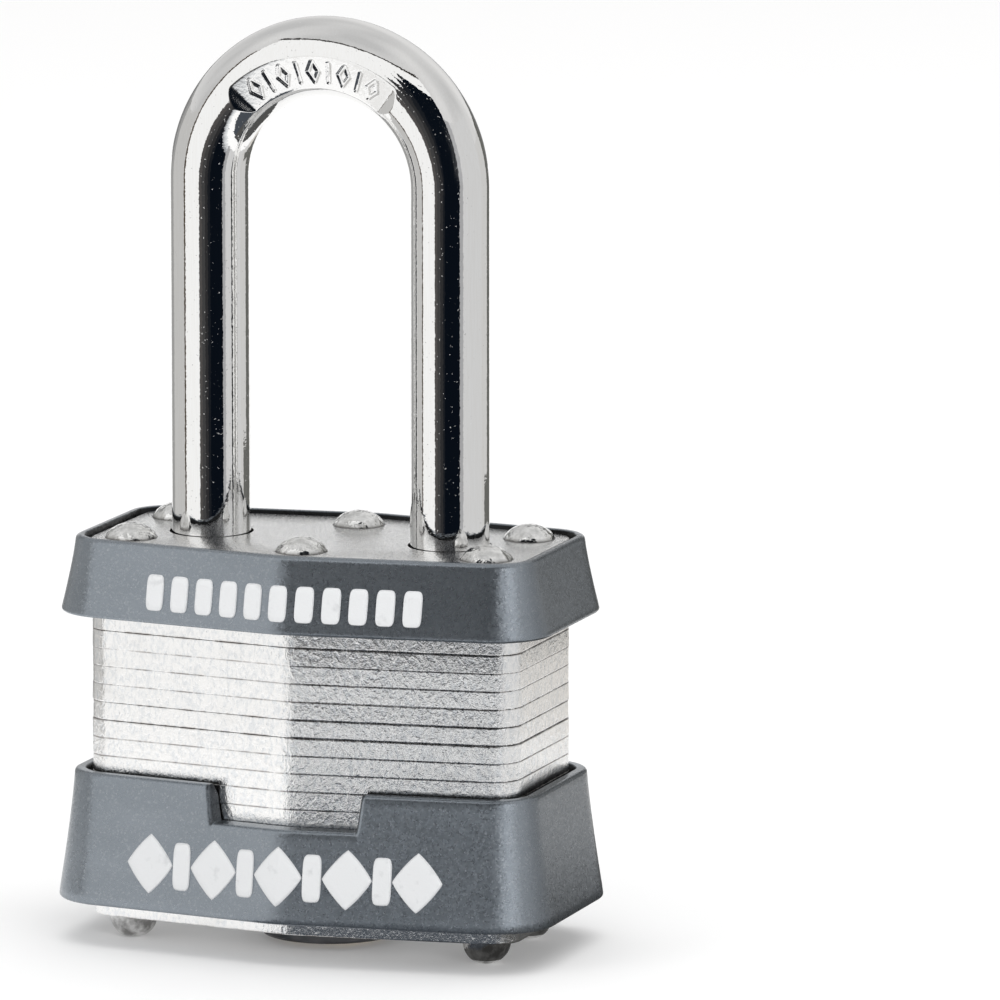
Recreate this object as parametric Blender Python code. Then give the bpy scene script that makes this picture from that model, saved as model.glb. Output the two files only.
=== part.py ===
"""Laminated padlock with a long shackle.

Every length below is in millimetres and becomes metres where a mesh is made. The origin is on the
surface that the lock stands on, under the middle of the body. +X is to the right seen from the
front, the front faces -Y and the shackle points along +Z.
"""

import math

import bmesh
import bpy
from mathutils import Matrix, Vector

MM = 0.001

# Gaps: between faces that rest on each other, between a piece and the opening that it sits or
# runs in, and round the turning cam. Cutters reach past what they cut by CUT_PAST
SEAT_GAP = 0.03
FIT_GAP = 0.1
CAM_GAP = 0.3
CUT_PAST = 1.0

# Points closer than this are one point, and faces that meet at less than this angle shade smooth
WELD_DISTANCE = 0.001
SMOOTH_ANGLE = 35.0

# Body outline: straight ends, and a front and back that each rise to a vertical crease at X = 0
BODY_WIDTH = 40.0
BODY_END_DEPTH = 16.4
BODY_MID_DEPTH = 21.4
BODY_CORNER_RADIUS = 2.5

# Stack of plates
PLATE_COUNT = 21
PLATE_THICKNESS = 1.5
PLATE_PITCH = 1.6
PLATE_INSET = 0.8
LOWER_INSET_PLATE = 3
UPPER_INSET_PLATE = 19

# Rivets
RIVET_X = 16.6
RIVET_Y = 5.55
CENTRE_RIVET_Y = 7.12
RIVET_SHANK_RADIUS = 1.25
RIVET_HOLE_RADIUS = 1.4
RIVET_HEAD_RADIUS = 2.3
RIVET_FOOT_RADIUS = 2.2
RIVET_HEAD_HEIGHT = 1.1
RIVET_HEAD_FLAT_RADIUS = 0.5
RIVET_FOOT_HEIGHT = 2.3
RIVET_FOOT_FLAT_RADIUS = 0.9
CENTRE_RIVET_LOWEST_PLATE = 13

# Shackle
SHACKLE_RADIUS = 3.5
LEG_X = 11.2
LEG_BORE_RADIUS = 3.72
SHACKLE_CLEARANCE = 39.2
TOE_BOTTOM = 25.4
HEEL_BOTTOM = 12.3
HEEL_COLLAR_HEIGHT = 1.7
HEEL_NECK_HEIGHT = 1.8
HEEL_NECK_RADIUS = 2.5
HEEL_FLAT_TOP = 28.6
HEEL_TAB_PLATE = 16
TAB_PLANE = 2.75
TOE_BORE_PLATE = 15

# Locking levers, which slide along X in the chamber cut in two plates
CHAMBER_PLATES = (17, 18)
CHAMBER_HALF_WIDTH = 7.4
CHAMBER_HALF_DEPTH = 5.2
NOSE_WINDOW_HALF_DEPTH = 2.95
LEVER_THICKNESS = 2.95
LEVER_NOSE_TIP = 9.0
LEVER_NOSE_HALF_DEPTH = 2.7
LEVER_SHOULDER = 7.2
LEVER_TAIL = 0.2
LEVER_OUTER_Y = 5.0
LEVER_INNER_Y = 0.15
LEVER_GAP_BELOW = 0.08
NOTCH_DEPTH = 1.4
NOTCH_RAMP_HEIGHT = 3.3
NOTCH_GAP_ABOVE = 0.15

# Cam: a disc with two posts that push the levers as the plug turns a quarter turn
CAM_POST_ORBIT = 3.6
CAM_POST_RADIUS = 0.7
CAM_POST_SLOT_CLEARANCE = 0.2
CAM_POST_ANGLE = 45.0
CAM_DISC_RADIUS = 4.9
CAM_STEM_RADIUS = 3.0
CAM_TONGUE_WIDTH = 1.6
CAM_TONGUE_LENGTH = 4.2
CAM_TONGUE_DEPTH = 1.0

# Cylinder, which fills the plates up to number 11, with its pin tower towards +Y
CYLINDER_RADIUS = 6.35
CYLINDER_FACE_Z = 0.6
CYLINDER_EDGE_CHAMFER = 0.25
CYLINDER_TOP = 19.6
CYLINDER_HOLE_RADIUS = 6.47
CYLINDER_TOP_PLATE = 11
TOWER_HALF_WIDTH = 2.8
TOWER_BACK_Y = 9.25
COVER_HALF_WIDTH = 1.5
COVER_FRONT_Y = 8.75
COVER_SIDE_GAP = 0.05
PLUG_RADIUS = 4.68
PLUG_BORE_RADIUS = 4.82
PLUG_FACE_Z = 0.7
PLUG_FACE_CHAMFER = 0.3
PLUG_TOP = 19.3
PLUG_TAIL_RADIUS = 2.6
PLUG_TAIL_TOP = 22.3
PIN_STATIONS = (5.8, 9.6, 13.4, 17.2)
PIN_CHAMBER_RADIUS = 1.35
PIN_RADIUS = 1.22
KEY_PIN_BACK_Y = 4.42
KEY_PIN_LENGTHS = (2.1, 2.9, 2.4, 3.1)
DRIVER_PIN_BACK_Y = 7.0

# Keyway: a straight blade with one ward to its right, closed at the plug's inner end
KEYWAY_HALF_WIDTH = 0.95
KEYWAY_FRONT_Y = -3.9
KEYWAY_BACK_Y = 1.6
KEYWAY_TOP = 18.4
WARD_SIDE_X = 1.65
WARD_FRONT_Y = -2.6
WARD_BACK_Y = -1.5

# Clip round the plug's tail: an open ring that leaves CLIP_OPENING degrees on each side of +X
CLIP_OPENING = 35.0
CLIP_RADIUS = 4.48
CLIP_THICKNESS = 0.8

# Springs
SHACKLE_SPRING_RADIUS = 2.7
SHACKLE_SPRING_WIRE = 0.4
LEVER_SPRING_RADIUS = 1.1
LEVER_SPRING_WIRE = 0.17
PIN_SPRING_RADIUS = 0.9
PIN_SPRING_WIRE = 0.12
PIN_SPRING_END_GAP = 0.08

# Bumpers: how far each band's faces lie outside the plates' edge
UPPER_BUMPER_BOTTOM = 29.4
UPPER_BUMPER_TOP = 36.15
UPPER_BUMPER_TOP_OFFSET = 1.38
UPPER_BUMPER_BOTTOM_OFFSET = 2.72
UPPER_BUMPER_LIP = 0.5
UPPER_BUMPER_RIM_DROP = 1.6
LOWER_BUMPER_BOTTOM = 3.75
LOWER_BUMPER_TOP = 15.3
LOWER_BUMPER_TOP_OFFSET = 1.52
LOWER_BUMPER_BOTTOM_OFFSET = 3.18
LOWER_BUMPER_LIP = 1.6
LOWER_BUMPER_RIM_DROP = 1.4
BUMPER_FLARE_POWER = 1.7
BUMPER_EDGE_ROUND = 0.25
BUMPER_INNER_OFFSET = 0.12
BUMPER_RIM_INNER_OFFSET = 0.6
BUMPER_RIM_STEP = 0.3
BUMPER_RIB_DEPTH = 0.6
NOTCH_HALF_WIDTH_TOP = 7.0
NOTCH_HALF_WIDTH_BOTTOM = 6.4
NOTCH_BOTTOM = 12.0

# Derived heights
STACK_BOTTOM = RIVET_FOOT_HEIGHT
STACK_TOP = STACK_BOTTOM + (PLATE_COUNT - 1) * PLATE_PITCH + PLATE_THICKNESS
CROWN_INNER_TOP = STACK_TOP + SHACKLE_CLEARANCE
CROWN_CENTRE_Z = CROWN_INNER_TOP + SHACKLE_RADIUS - LEG_X


def plate_bottom(number):
    return STACK_BOTTOM + (number - 1) * PLATE_PITCH


def plate_top(number):
    return plate_bottom(number) + PLATE_THICKNESS


LEVER_BOTTOM = plate_bottom(CHAMBER_PLATES[0]) + LEVER_GAP_BELOW
LEVER_TOP = LEVER_BOTTOM + LEVER_THICKNESS


# ---------------------------------------------------------------- scene and materials


def clear_scene():
    for item in list(bpy.data.objects):
        bpy.data.objects.remove(item, do_unlink=True)


def new_collection(name):
    collection = bpy.data.collections.new(name)
    bpy.context.scene.collection.children.link(collection)
    return collection


def principled(name, colour, roughness, metallic):
    material = bpy.data.materials.new(name)
    material.use_nodes = True
    shader = material.node_tree.nodes["Principled BSDF"]
    shader.inputs["Base Color"].default_value = (*colour, 1.0)
    shader.inputs["Roughness"].default_value = roughness
    shader.inputs["Metallic"].default_value = metallic
    material.diffuse_color = (*colour, 1.0)
    return material


clear_scene()
PARTS = new_collection("laminated_padlock")
CUTTERS = new_collection("cutters")
ZINC = principled("zinc_plated_steel", (0.72, 0.72, 0.70), 0.38, 1.0)
CHROME = principled("chromed_steel", (0.80, 0.80, 0.80), 0.08, 1.0)
RIVET_STEEL = principled("rivet_steel", (0.66, 0.66, 0.67), 0.22, 1.0)
PLASTIC = principled("bumper_plastic", (0.16, 0.18, 0.21), 0.35, 0.3)
BRASS = principled("brass", (0.72, 0.52, 0.22), 0.3, 1.0)
CYLINDER_METAL = principled("dark_cast_zinc", (0.18, 0.18, 0.19), 0.45, 1.0)
SPRING_STEEL = principled("spring_steel", (0.5, 0.5, 0.52), 0.3, 1.0)


# ---------------------------------------------------------------- outlines, as lists of (x, y)


def arc(centre, radius, start, end, steps):
    """Points on an arc from start to end, in degrees, both ends included."""
    angles = [math.radians(start + (end - start) * i / steps) for i in range(steps + 1)]
    return [(centre[0] + radius * math.cos(a), centre[1] + radius * math.sin(a)) for a in angles]


def circle(centre, radius, steps):
    return arc(centre, radius, 0, 360, steps)[:-1]


def body_outline(offset=0.0, corner_steps=4):
    """The plates' six-sided outline, moved outwards by offset, anticlockwise from the right end."""
    lean = math.atan2((BODY_MID_DEPTH - BODY_END_DEPTH) / 2, BODY_WIDTH / 2)
    inner_x = BODY_WIDTH / 2 - BODY_CORNER_RADIUS
    to_facet = (math.tan(lean) - 1 / math.cos(lean)) * BODY_CORNER_RADIUS
    inner_y = BODY_END_DEPTH / 2 + to_facet
    radius = BODY_CORNER_RADIUS + offset
    facet = math.degrees(lean)
    quarter = arc((inner_x, inner_y), radius, 0, 90 - facet, corner_steps)
    last_x, last_y = quarter[-1]
    crease = (0.0, last_y + last_x * math.tan(lean))
    back = quarter + [crease] + [(-x, y) for x, y in reversed(quarter)]
    return back + [(-x, -y) for x, y in back]


def keyed_circle(radius, half_width, back_y, steps):
    """A circle about the origin with a square tower towards +Y."""
    side = math.degrees(math.acos(half_width / radius))
    return arc((0, 0), radius, 180 - side, 360 + side, steps) + [
        (half_width, back_y),
        (-half_width, back_y),
    ]


def tabbed_bore():
    """The long leg's bore, narrowed by a straight tab on its outer side."""
    reach = 180 - math.degrees(math.acos(TAB_PLANE / LEG_BORE_RADIUS))
    return arc((-LEG_X, 0), LEG_BORE_RADIUS, -reach, reach, 16)


def chamber_outline():
    """Both leg bores and the levers' chamber between them, as one opening."""
    window = NOSE_WINDOW_HALF_DEPTH
    cut = math.degrees(math.asin(window / LEG_BORE_RADIUS))
    right = arc((LEG_X, 0), LEG_BORE_RADIUS, cut - 180, 180 - cut, 16)
    left = arc((-LEG_X, 0), LEG_BORE_RADIUS, cut, 360 - cut, 16)
    width, depth = CHAMBER_HALF_WIDTH, CHAMBER_HALF_DEPTH
    back = [(width, window), (width, depth), (-width, depth), (-width, window)]
    front = [(-width, -window), (-width, -depth), (width, -depth), (width, -window)]
    return right + back + left + front


# ---------------------------------------------------------------- solids


def add_object(name, data, material, origin=(0, 0, 0), collection=None):
    item = bpy.data.objects.new(name, data)
    item.location = Vector(origin) * MM
    (collection or PARTS).objects.link(item)
    if material:
        data.materials.append(material)
    return item


def flat_piece(name, loops, bottom, thickness, material, origin=(0, 0, 0)):
    """A flat piece cut from sheet: the first loop is its outline, the others its holes."""
    curve = bpy.data.curves.new(name, "CURVE")
    curve.dimensions = "2D"
    curve.fill_mode = "BOTH"
    curve.extrude = thickness / 2 * MM
    middle = bottom + thickness / 2
    for loop in loops:
        spline = curve.splines.new("POLY")
        spline.points.add(len(loop) - 1)
        for point, (x, y) in zip(spline.points, loop):
            point.co = ((x - origin[0]) * MM, (y - origin[1]) * MM, 0.0, 1.0)
        spline.use_cyclic_u = True
    return add_object(name, curve, material, (origin[0], origin[1], middle))


def finish_mesh(name, bm, origin=(0, 0, 0)):
    """A mesh from bmesh geometry in millimetres, with its origin moved to the given point."""
    bmesh.ops.translate(bm, verts=bm.verts, vec=-Vector(origin))
    bmesh.ops.scale(bm, verts=bm.verts, vec=(MM, MM, MM))
    bmesh.ops.recalc_face_normals(bm, faces=bm.faces)
    mesh = bpy.data.meshes.new(name)
    bm.to_mesh(mesh)
    bm.free()
    mesh.shade_smooth()
    mesh.set_sharp_from_angle(angle=math.radians(SMOOTH_ANGLE))
    return mesh


def rod_mesh(name, radius, low, high, steps, axis="Z", origin=(0, 0, 0)):
    """A cylinder between two points, low and high, that lie along one axis."""
    bm = bmesh.new()
    length = (Vector(high) - Vector(low)).length
    bmesh.ops.create_cone(
        bm, cap_ends=True, segments=steps, radius1=radius, radius2=radius, depth=length
    )
    if axis == "Y":
        bmesh.ops.rotate(bm, verts=bm.verts, matrix=Matrix.Rotation(math.radians(-90), 3, "X"))
    bmesh.ops.translate(bm, verts=bm.verts, vec=(Vector(low) + Vector(high)) / 2)
    return finish_mesh(name, bm, origin)


def box_mesh(name, low, high, origin=(0, 0, 0)):
    bm = bmesh.new()
    bmesh.ops.create_cube(bm, size=1.0)
    bmesh.ops.scale(bm, verts=bm.verts, vec=Vector(high) - Vector(low))
    bmesh.ops.translate(bm, verts=bm.verts, vec=(Vector(low) + Vector(high)) / 2)
    return finish_mesh(name, bm, origin)


def turned_mesh(name, profile, centre, steps, origin=(0, 0, 0)):
    """A turned solid: the profile is (radius, z) from the axis round to the axis again."""
    bm = bmesh.new()
    points = [bm.verts.new((radius, 0.0, z)) for radius, z in profile]
    edges = [bm.edges.new(pair) for pair in zip(points, points[1:])]
    bmesh.ops.spin(
        bm,
        geom=points + edges,
        axis=(0, 0, 1),
        cent=(0, 0, 0),
        angle=2 * math.pi,
        steps=steps,
        use_merge=True,
    )
    bmesh.ops.remove_doubles(bm, verts=bm.verts, dist=WELD_DISTANCE)
    bmesh.ops.translate(bm, verts=bm.verts, vec=(centre[0], centre[1], 0.0))
    return finish_mesh(name, bm, origin)


def swept_band_mesh(name, section):
    """A band round the body: a closed cross-section of (offset, z) carried round the outline."""
    bm = bmesh.new()
    rings = []
    for offset, z in section:
        rings.append([bm.verts.new((x, y, z)) for x, y in body_outline(offset)])
    for ring, following in zip(rings, rings[1:] + rings[:1]):
        for i in range(len(ring)):
            j = (i + 1) % len(ring)
            bm.faces.new((ring[i], ring[j], following[j], following[i]))
    return finish_mesh(name, bm)


def combine(target, tool, operation):
    """Cuts the tool's shape from target or joins it on. The tool stays as a hidden helper."""
    tool.hide_render = True
    tool.display_type = "WIRE"
    modifier = target.modifiers.new(f"{operation.lower()}_{tool.name}", "BOOLEAN")
    modifier.operation = operation
    modifier.object = tool
    modifier.solver = "EXACT"


def helper(name, mesh):
    return add_object(name, mesh, None, collection=CUTTERS)


def as_mesh_object(item):
    """Replaces a curve object with a closed mesh of the same shape and place."""
    graph = bpy.context.evaluated_depsgraph_get()
    graph.update()
    mesh = bpy.data.meshes.new_from_object(item.evaluated_get(graph))
    bm = bmesh.new()
    bm.from_mesh(mesh)
    bmesh.ops.remove_doubles(bm, verts=bm.verts, dist=WELD_DISTANCE * MM)
    bmesh.ops.recalc_face_normals(bm, faces=bm.faces)
    bm.to_mesh(mesh)
    bm.free()
    mesh.shade_smooth()
    mesh.set_sharp_from_angle(angle=math.radians(SMOOTH_ANGLE))
    name = item.name
    place = item.matrix_world.copy()
    bpy.data.objects.remove(item, do_unlink=True)
    made = bpy.data.objects.new(name, mesh)
    made.matrix_world = place
    PARTS.objects.link(made)
    return made


def wire(name, points, radius, material, origin=(0, 0, 0), bevel_resolution=2):
    """A round bar or wire along the points, with closed ends."""
    curve = bpy.data.curves.new(name, "CURVE")
    curve.dimensions = "3D"
    curve.bevel_depth = radius * MM
    curve.bevel_resolution = bevel_resolution
    curve.use_fill_caps = True
    spline = curve.splines.new("POLY")
    spline.points.add(len(points) - 1)
    for point, place in zip(spline.points, points):
        point.co = (*((Vector(place) - Vector(origin)) * MM), 1.0)
    spline.use_smooth = True
    return add_object(name, curve, material, origin)


def coil_points(length, radius, turns, steps_per_turn):
    """A helix along +Z from the origin, with its end turns lying flat."""
    count = round(turns * steps_per_turn)
    points = []
    for i in range(count + 1):
        share = i / count
        eased = min(1.0, max(0.0, (share * turns - 0.5) / (turns - 1.0)))
        angle = 2 * math.pi * share * turns
        points.append(Vector((radius * math.cos(angle), radius * math.sin(angle), length * eased)))
    return points


# ---------------------------------------------------------------- laminations


def rivet_holes(number, steps):
    corners = [(sx * RIVET_X, sy * RIVET_Y) for sx in (-1, 1) for sy in (-1, 1)]
    centres = [(0.0, sy * CENTRE_RIVET_Y) for sy in (-1, 1)]
    places = corners + (centres if number >= CENTRE_RIVET_LOWEST_PLATE else [])
    return [circle(place, RIVET_HOLE_RADIUS, steps) for place in places]


def plate_openings(number):
    """What the mechanism needs cut in this plate, besides the rivet holes."""
    bore_steps = 24 if number == PLATE_COUNT else 14
    heel_bore = circle((-LEG_X, 0), LEG_BORE_RADIUS, bore_steps)
    toe_bore = circle((LEG_X, 0), LEG_BORE_RADIUS, bore_steps)
    if number == 1:
        return [circle((0, 0), CYLINDER_HOLE_RADIUS, 28)]
    if number <= CYLINDER_TOP_PLATE:
        half_width, back_y = TOWER_HALF_WIDTH + FIT_GAP, TOWER_BACK_Y + FIT_GAP
        tower = keyed_circle(CYLINDER_HOLE_RADIUS, half_width, back_y, 20)
        return [tower, heel_bore]
    if number == CYLINDER_TOP_PLATE + 1:
        return [circle((0, 0), PLUG_BORE_RADIUS + CAM_GAP + FIT_GAP, 20), heel_bore]
    if number < TOE_BORE_PLATE:
        return [circle((0, 0), CAM_STEM_RADIUS + CAM_GAP, 16), heel_bore]
    if number == TOE_BORE_PLATE:
        return [circle((0, 0), CAM_STEM_RADIUS + CAM_GAP, 16), heel_bore, toe_bore]
    if number == HEEL_TAB_PLATE:
        return [circle((0, 0), CAM_DISC_RADIUS + CAM_GAP, 20), tabbed_bore(), toe_bore]
    if number in CHAMBER_PLATES:
        return [chamber_outline()]
    return [heel_bore, toe_bore]


def make_laminations():
    for number in range(1, PLATE_COUNT + 1):
        inset = PLATE_INSET if number in (LOWER_INSET_PLATE, UPPER_INSET_PLATE) else 0.0
        visible = number in (1, PLATE_COUNT)
        loops = [body_outline(-inset)]
        loops += rivet_holes(number, 12 if visible else 8)
        loops += plate_openings(number)
        flat_piece(f"lamination_{number:02d}", loops, plate_bottom(number), PLATE_THICKNESS, ZINC)


# ---------------------------------------------------------------- rivets


def dome(radius, height, flat_radius, base_z, direction, steps=4):
    """(radius, z) from the dome's rim to its flat tip. direction is 1 for up and -1 for down."""
    points = []
    for i in range(steps + 1):
        angle = math.radians(90 * i / steps)
        reach = flat_radius + (radius - flat_radius) * math.cos(angle)
        points.append((reach, base_z + direction * height * math.sin(angle)))
    return points


def rivet_profile(shank_bottom, has_foot):
    """The rivet's outside, from the axis at the top of the head down to the axis at its end."""
    head_seat = STACK_TOP + SEAT_GAP
    head = dome(RIVET_HEAD_RADIUS, RIVET_HEAD_HEIGHT, RIVET_HEAD_FLAT_RADIUS, head_seat, 1)
    points = [(0.0, head[-1][1])] + head[::-1]
    points.append((RIVET_SHANK_RADIUS, head_seat))
    if has_foot:
        foot_seat = STACK_BOTTOM - SEAT_GAP
        foot = dome(RIVET_FOOT_RADIUS, foot_seat, RIVET_FOOT_FLAT_RADIUS, foot_seat, -1)
        points += [(RIVET_SHANK_RADIUS, foot_seat)] + foot + [(0.0, foot[-1][1])]
    else:
        points += [(RIVET_SHANK_RADIUS, shank_bottom), (0.0, shank_bottom)]
    return points


def make_rivets():
    corners = {
        "front_left": (-RIVET_X, -RIVET_Y),
        "front_right": (RIVET_X, -RIVET_Y),
        "back_left": (-RIVET_X, RIVET_Y),
        "back_right": (RIVET_X, RIVET_Y),
    }
    long_rivet = turned_mesh("long_rivet", rivet_profile(0.0, True), (0, 0), 16)
    for label, (x, y) in corners.items():
        item = add_object(f"corner_rivet_{label}", long_rivet.copy(), RIVET_STEEL)
        item.location = (x * MM, y * MM, 0.0)
    shank_bottom = plate_bottom(CENTRE_RIVET_LOWEST_PLATE) + FIT_GAP
    short_rivet = turned_mesh("short_rivet", rivet_profile(shank_bottom, False), (0, 0), 16)
    for label, y in (("front", -CENTRE_RIVET_Y), ("back", CENTRE_RIVET_Y)):
        item = add_object(f"centre_rivet_{label}", short_rivet.copy(), RIVET_STEEL)
        item.location = (0.0, y * MM, 0.0)


# ---------------------------------------------------------------- bumpers


def concave_flare(bottom, top, bottom_offset, top_offset, lip, steps=5):
    """(offset, z) up a band's outer face: a short upright lip, then a hollow curve inwards."""
    points = [(bottom_offset - BUMPER_EDGE_ROUND / 2, bottom), (bottom_offset, bottom + BUMPER_EDGE_ROUND)]
    start = bottom + lip
    for i in range(steps + 1):
        share = i / steps
        z = start + (top - BUMPER_EDGE_ROUND - start) * share
        swell = (bottom_offset - top_offset) * (1 - share) ** BUMPER_FLARE_POWER
        points.append((top_offset + swell, z))
    points.append((top_offset - BUMPER_EDGE_ROUND, top))
    return points


def band_section(outer, bottom, top, rim_drop, rib):
    """The closed cross-section of a bumper, with a rib that snaps into the inset plate."""
    rib_low, rib_high = rib
    inner = BUMPER_INNER_OFFSET
    return outer + [
        (BUMPER_RIM_INNER_OFFSET, top),
        (BUMPER_RIM_INNER_OFFSET, top - rim_drop),
        (inner, top - rim_drop - BUMPER_RIM_STEP),
        (inner, rib_high),
        (inner - BUMPER_RIB_DEPTH, rib_high),
        (inner - BUMPER_RIB_DEPTH, rib_low),
        (inner, rib_low),
        (inner, bottom),
    ]


def rib_heights(number):
    return plate_bottom(number) + FIT_GAP, plate_top(number) - FIT_GAP


def make_bumpers():
    upper_offsets = UPPER_BUMPER_BOTTOM_OFFSET, UPPER_BUMPER_TOP_OFFSET
    outer = concave_flare(UPPER_BUMPER_BOTTOM, UPPER_BUMPER_TOP, *upper_offsets, UPPER_BUMPER_LIP)
    rib = rib_heights(UPPER_INSET_PLATE)
    section = band_section(outer, UPPER_BUMPER_BOTTOM, UPPER_BUMPER_TOP, UPPER_BUMPER_RIM_DROP, rib)
    add_object("upper_bumper", swept_band_mesh("upper_bumper", section), PLASTIC)

    lower_offsets = LOWER_BUMPER_BOTTOM_OFFSET, LOWER_BUMPER_TOP_OFFSET
    outer = concave_flare(LOWER_BUMPER_BOTTOM, LOWER_BUMPER_TOP, *lower_offsets, LOWER_BUMPER_LIP)
    rib = rib_heights(LOWER_INSET_PLATE)
    section = band_section(outer, LOWER_BUMPER_BOTTOM, LOWER_BUMPER_TOP, LOWER_BUMPER_RIM_DROP, rib)
    lower_bumper = add_object("lower_bumper", swept_band_mesh("lower_bumper", section), PLASTIC)

    bm = bmesh.new()
    bmesh.ops.create_cube(bm, size=1.0)
    height = LOWER_BUMPER_TOP + CUT_PAST - NOTCH_BOTTOM
    depth = 2 * LOWER_BUMPER_BOTTOM_OFFSET + CUT_PAST
    bmesh.ops.scale(bm, verts=bm.verts, vec=(2 * NOTCH_HALF_WIDTH_TOP, depth, height))
    low_verts = [v for v in bm.verts if v.co.z < 0]
    narrowing = NOTCH_HALF_WIDTH_BOTTOM / NOTCH_HALF_WIDTH_TOP
    bmesh.ops.scale(bm, verts=low_verts, vec=(narrowing, 1.0, 1.0))
    middle = (0.0, -BODY_MID_DEPTH / 2 - CUT_PAST, NOTCH_BOTTOM + height / 2)
    bmesh.ops.translate(bm, verts=bm.verts, vec=middle)
    combine(lower_bumper, helper("bumper_notch_cutter", finish_mesh("notch", bm)), "DIFFERENCE")


# ---------------------------------------------------------------- shackle


def shackle_points():
    """The bar's centre line: up the long leg, round the crown and down the short leg."""
    crown = arc((0, 0), LEG_X, 180, 0, 20)
    points = [(-LEG_X, 0.0, HEEL_BOTTOM)]
    points += [(x, 0.0, CROWN_CENTRE_Z + y) for x, y in crown]
    points.append((LEG_X, 0.0, TOE_BOTTOM))
    return points


def lever_notch(name, leg_x, inward):
    """The cut for a lever's nose: a flat shoulder above, and a ramp below that the nose rides."""
    bm = bmesh.new()
    flat_x = leg_x + inward * (SHACKLE_RADIUS - NOTCH_DEPTH)
    outer_x = leg_x + inward * (SHACKLE_RADIUS + CUT_PAST)
    shoulder_z = LEVER_TOP + NOTCH_GAP_ABOVE
    ramp_top_z = LEVER_BOTTOM - FIT_GAP
    ramp_low_z = ramp_top_z - NOTCH_RAMP_HEIGHT * (1 + CUT_PAST / NOTCH_DEPTH)
    outline = [(flat_x, shoulder_z), (flat_x, ramp_top_z), (outer_x, ramp_low_z), (outer_x, shoulder_z)]
    half_depth = SHACKLE_RADIUS + CUT_PAST
    face = bm.faces.new([bm.verts.new((x, -half_depth, z)) for x, z in outline])
    grown = bmesh.ops.extrude_face_region(bm, geom=[face])
    moved = [v for v in grown["geom"] if isinstance(v, bmesh.types.BMVert)]
    bmesh.ops.translate(bm, verts=moved, vec=(0.0, 2 * half_depth, 0.0))
    return helper(name, finish_mesh(name, bm))


def make_shackle():
    bar = wire("shackle", shackle_points(), SHACKLE_RADIUS, CHROME, bevel_resolution=5)
    shackle = as_mesh_object(bar)
    combine(shackle, lever_notch("heel_notch_cutter", -LEG_X, 1), "DIFFERENCE")
    combine(shackle, lever_notch("toe_notch_cutter", LEG_X, -1), "DIFFERENCE")

    neck_low = HEEL_BOTTOM + HEEL_COLLAR_HEIGHT
    neck_high = neck_low + HEEL_NECK_HEIGHT
    outside = SHACKLE_RADIUS + CUT_PAST
    ring = [(HEEL_NECK_RADIUS, neck_high), (HEEL_NECK_RADIUS, neck_low), (outside, neck_low)]
    ring += [(outside, neck_high), (HEEL_NECK_RADIUS, neck_high)]
    neck = turned_mesh("neck", ring, (-LEG_X, 0), 24)
    combine(shackle, helper("heel_neck_cutter", neck), "DIFFERENCE")

    inside_neck_z = (neck_low + neck_high) / 2
    flat_low = (-LEG_X - outside, -outside, inside_neck_z)
    flat_high = (-LEG_X - HEEL_NECK_RADIUS, outside, HEEL_FLAT_TOP)
    flat = box_mesh("heel_flat", flat_low, flat_high)
    combine(shackle, helper("heel_flat_cutter", flat), "DIFFERENCE")


# ---------------------------------------------------------------- levers and cam


def slot_outline(centre_x, low_y, high_y, half_width):
    lower = arc((centre_x, low_y + half_width), half_width, 180, 360, 6)
    upper = arc((centre_x, high_y - half_width), half_width, 0, 180, 6)
    return lower + upper


def lever_loops():
    """The front lever's outline and its post slot, with its nose towards -X."""
    outline = [
        (-LEVER_NOSE_TIP, -LEVER_NOSE_HALF_DEPTH),
        (-LEVER_SHOULDER, -LEVER_NOSE_HALF_DEPTH),
        (-LEVER_SHOULDER, -LEVER_OUTER_Y),
        (LEVER_TAIL, -LEVER_OUTER_Y),
        (LEVER_TAIL, -LEVER_INNER_Y),
        (-LEVER_NOSE_TIP, -LEVER_INNER_Y),
    ]
    half_width = CAM_POST_RADIUS + CAM_POST_SLOT_CLEARANCE
    post_x = CAM_POST_ORBIT * math.sin(math.radians(CAM_POST_ANGLE))
    post_y = CAM_POST_ORBIT * math.cos(math.radians(CAM_POST_ANGLE))
    slot = slot_outline(-post_x, -CAM_POST_ORBIT - half_width, half_width - post_y, half_width)
    return [outline, slot]


def make_levers():
    front = lever_loops()
    back = [[(-x, -y) for x, y in loop] for loop in front]
    middle = (LEVER_OUTER_Y + LEVER_INNER_Y) / 2
    flat_piece("locking_lever_heel", front, LEVER_BOTTOM, LEVER_THICKNESS, ZINC, (0, -middle))
    flat_piece("locking_lever_toe", back, LEVER_BOTTOM, LEVER_THICKNESS, ZINC, (0, middle))


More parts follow.
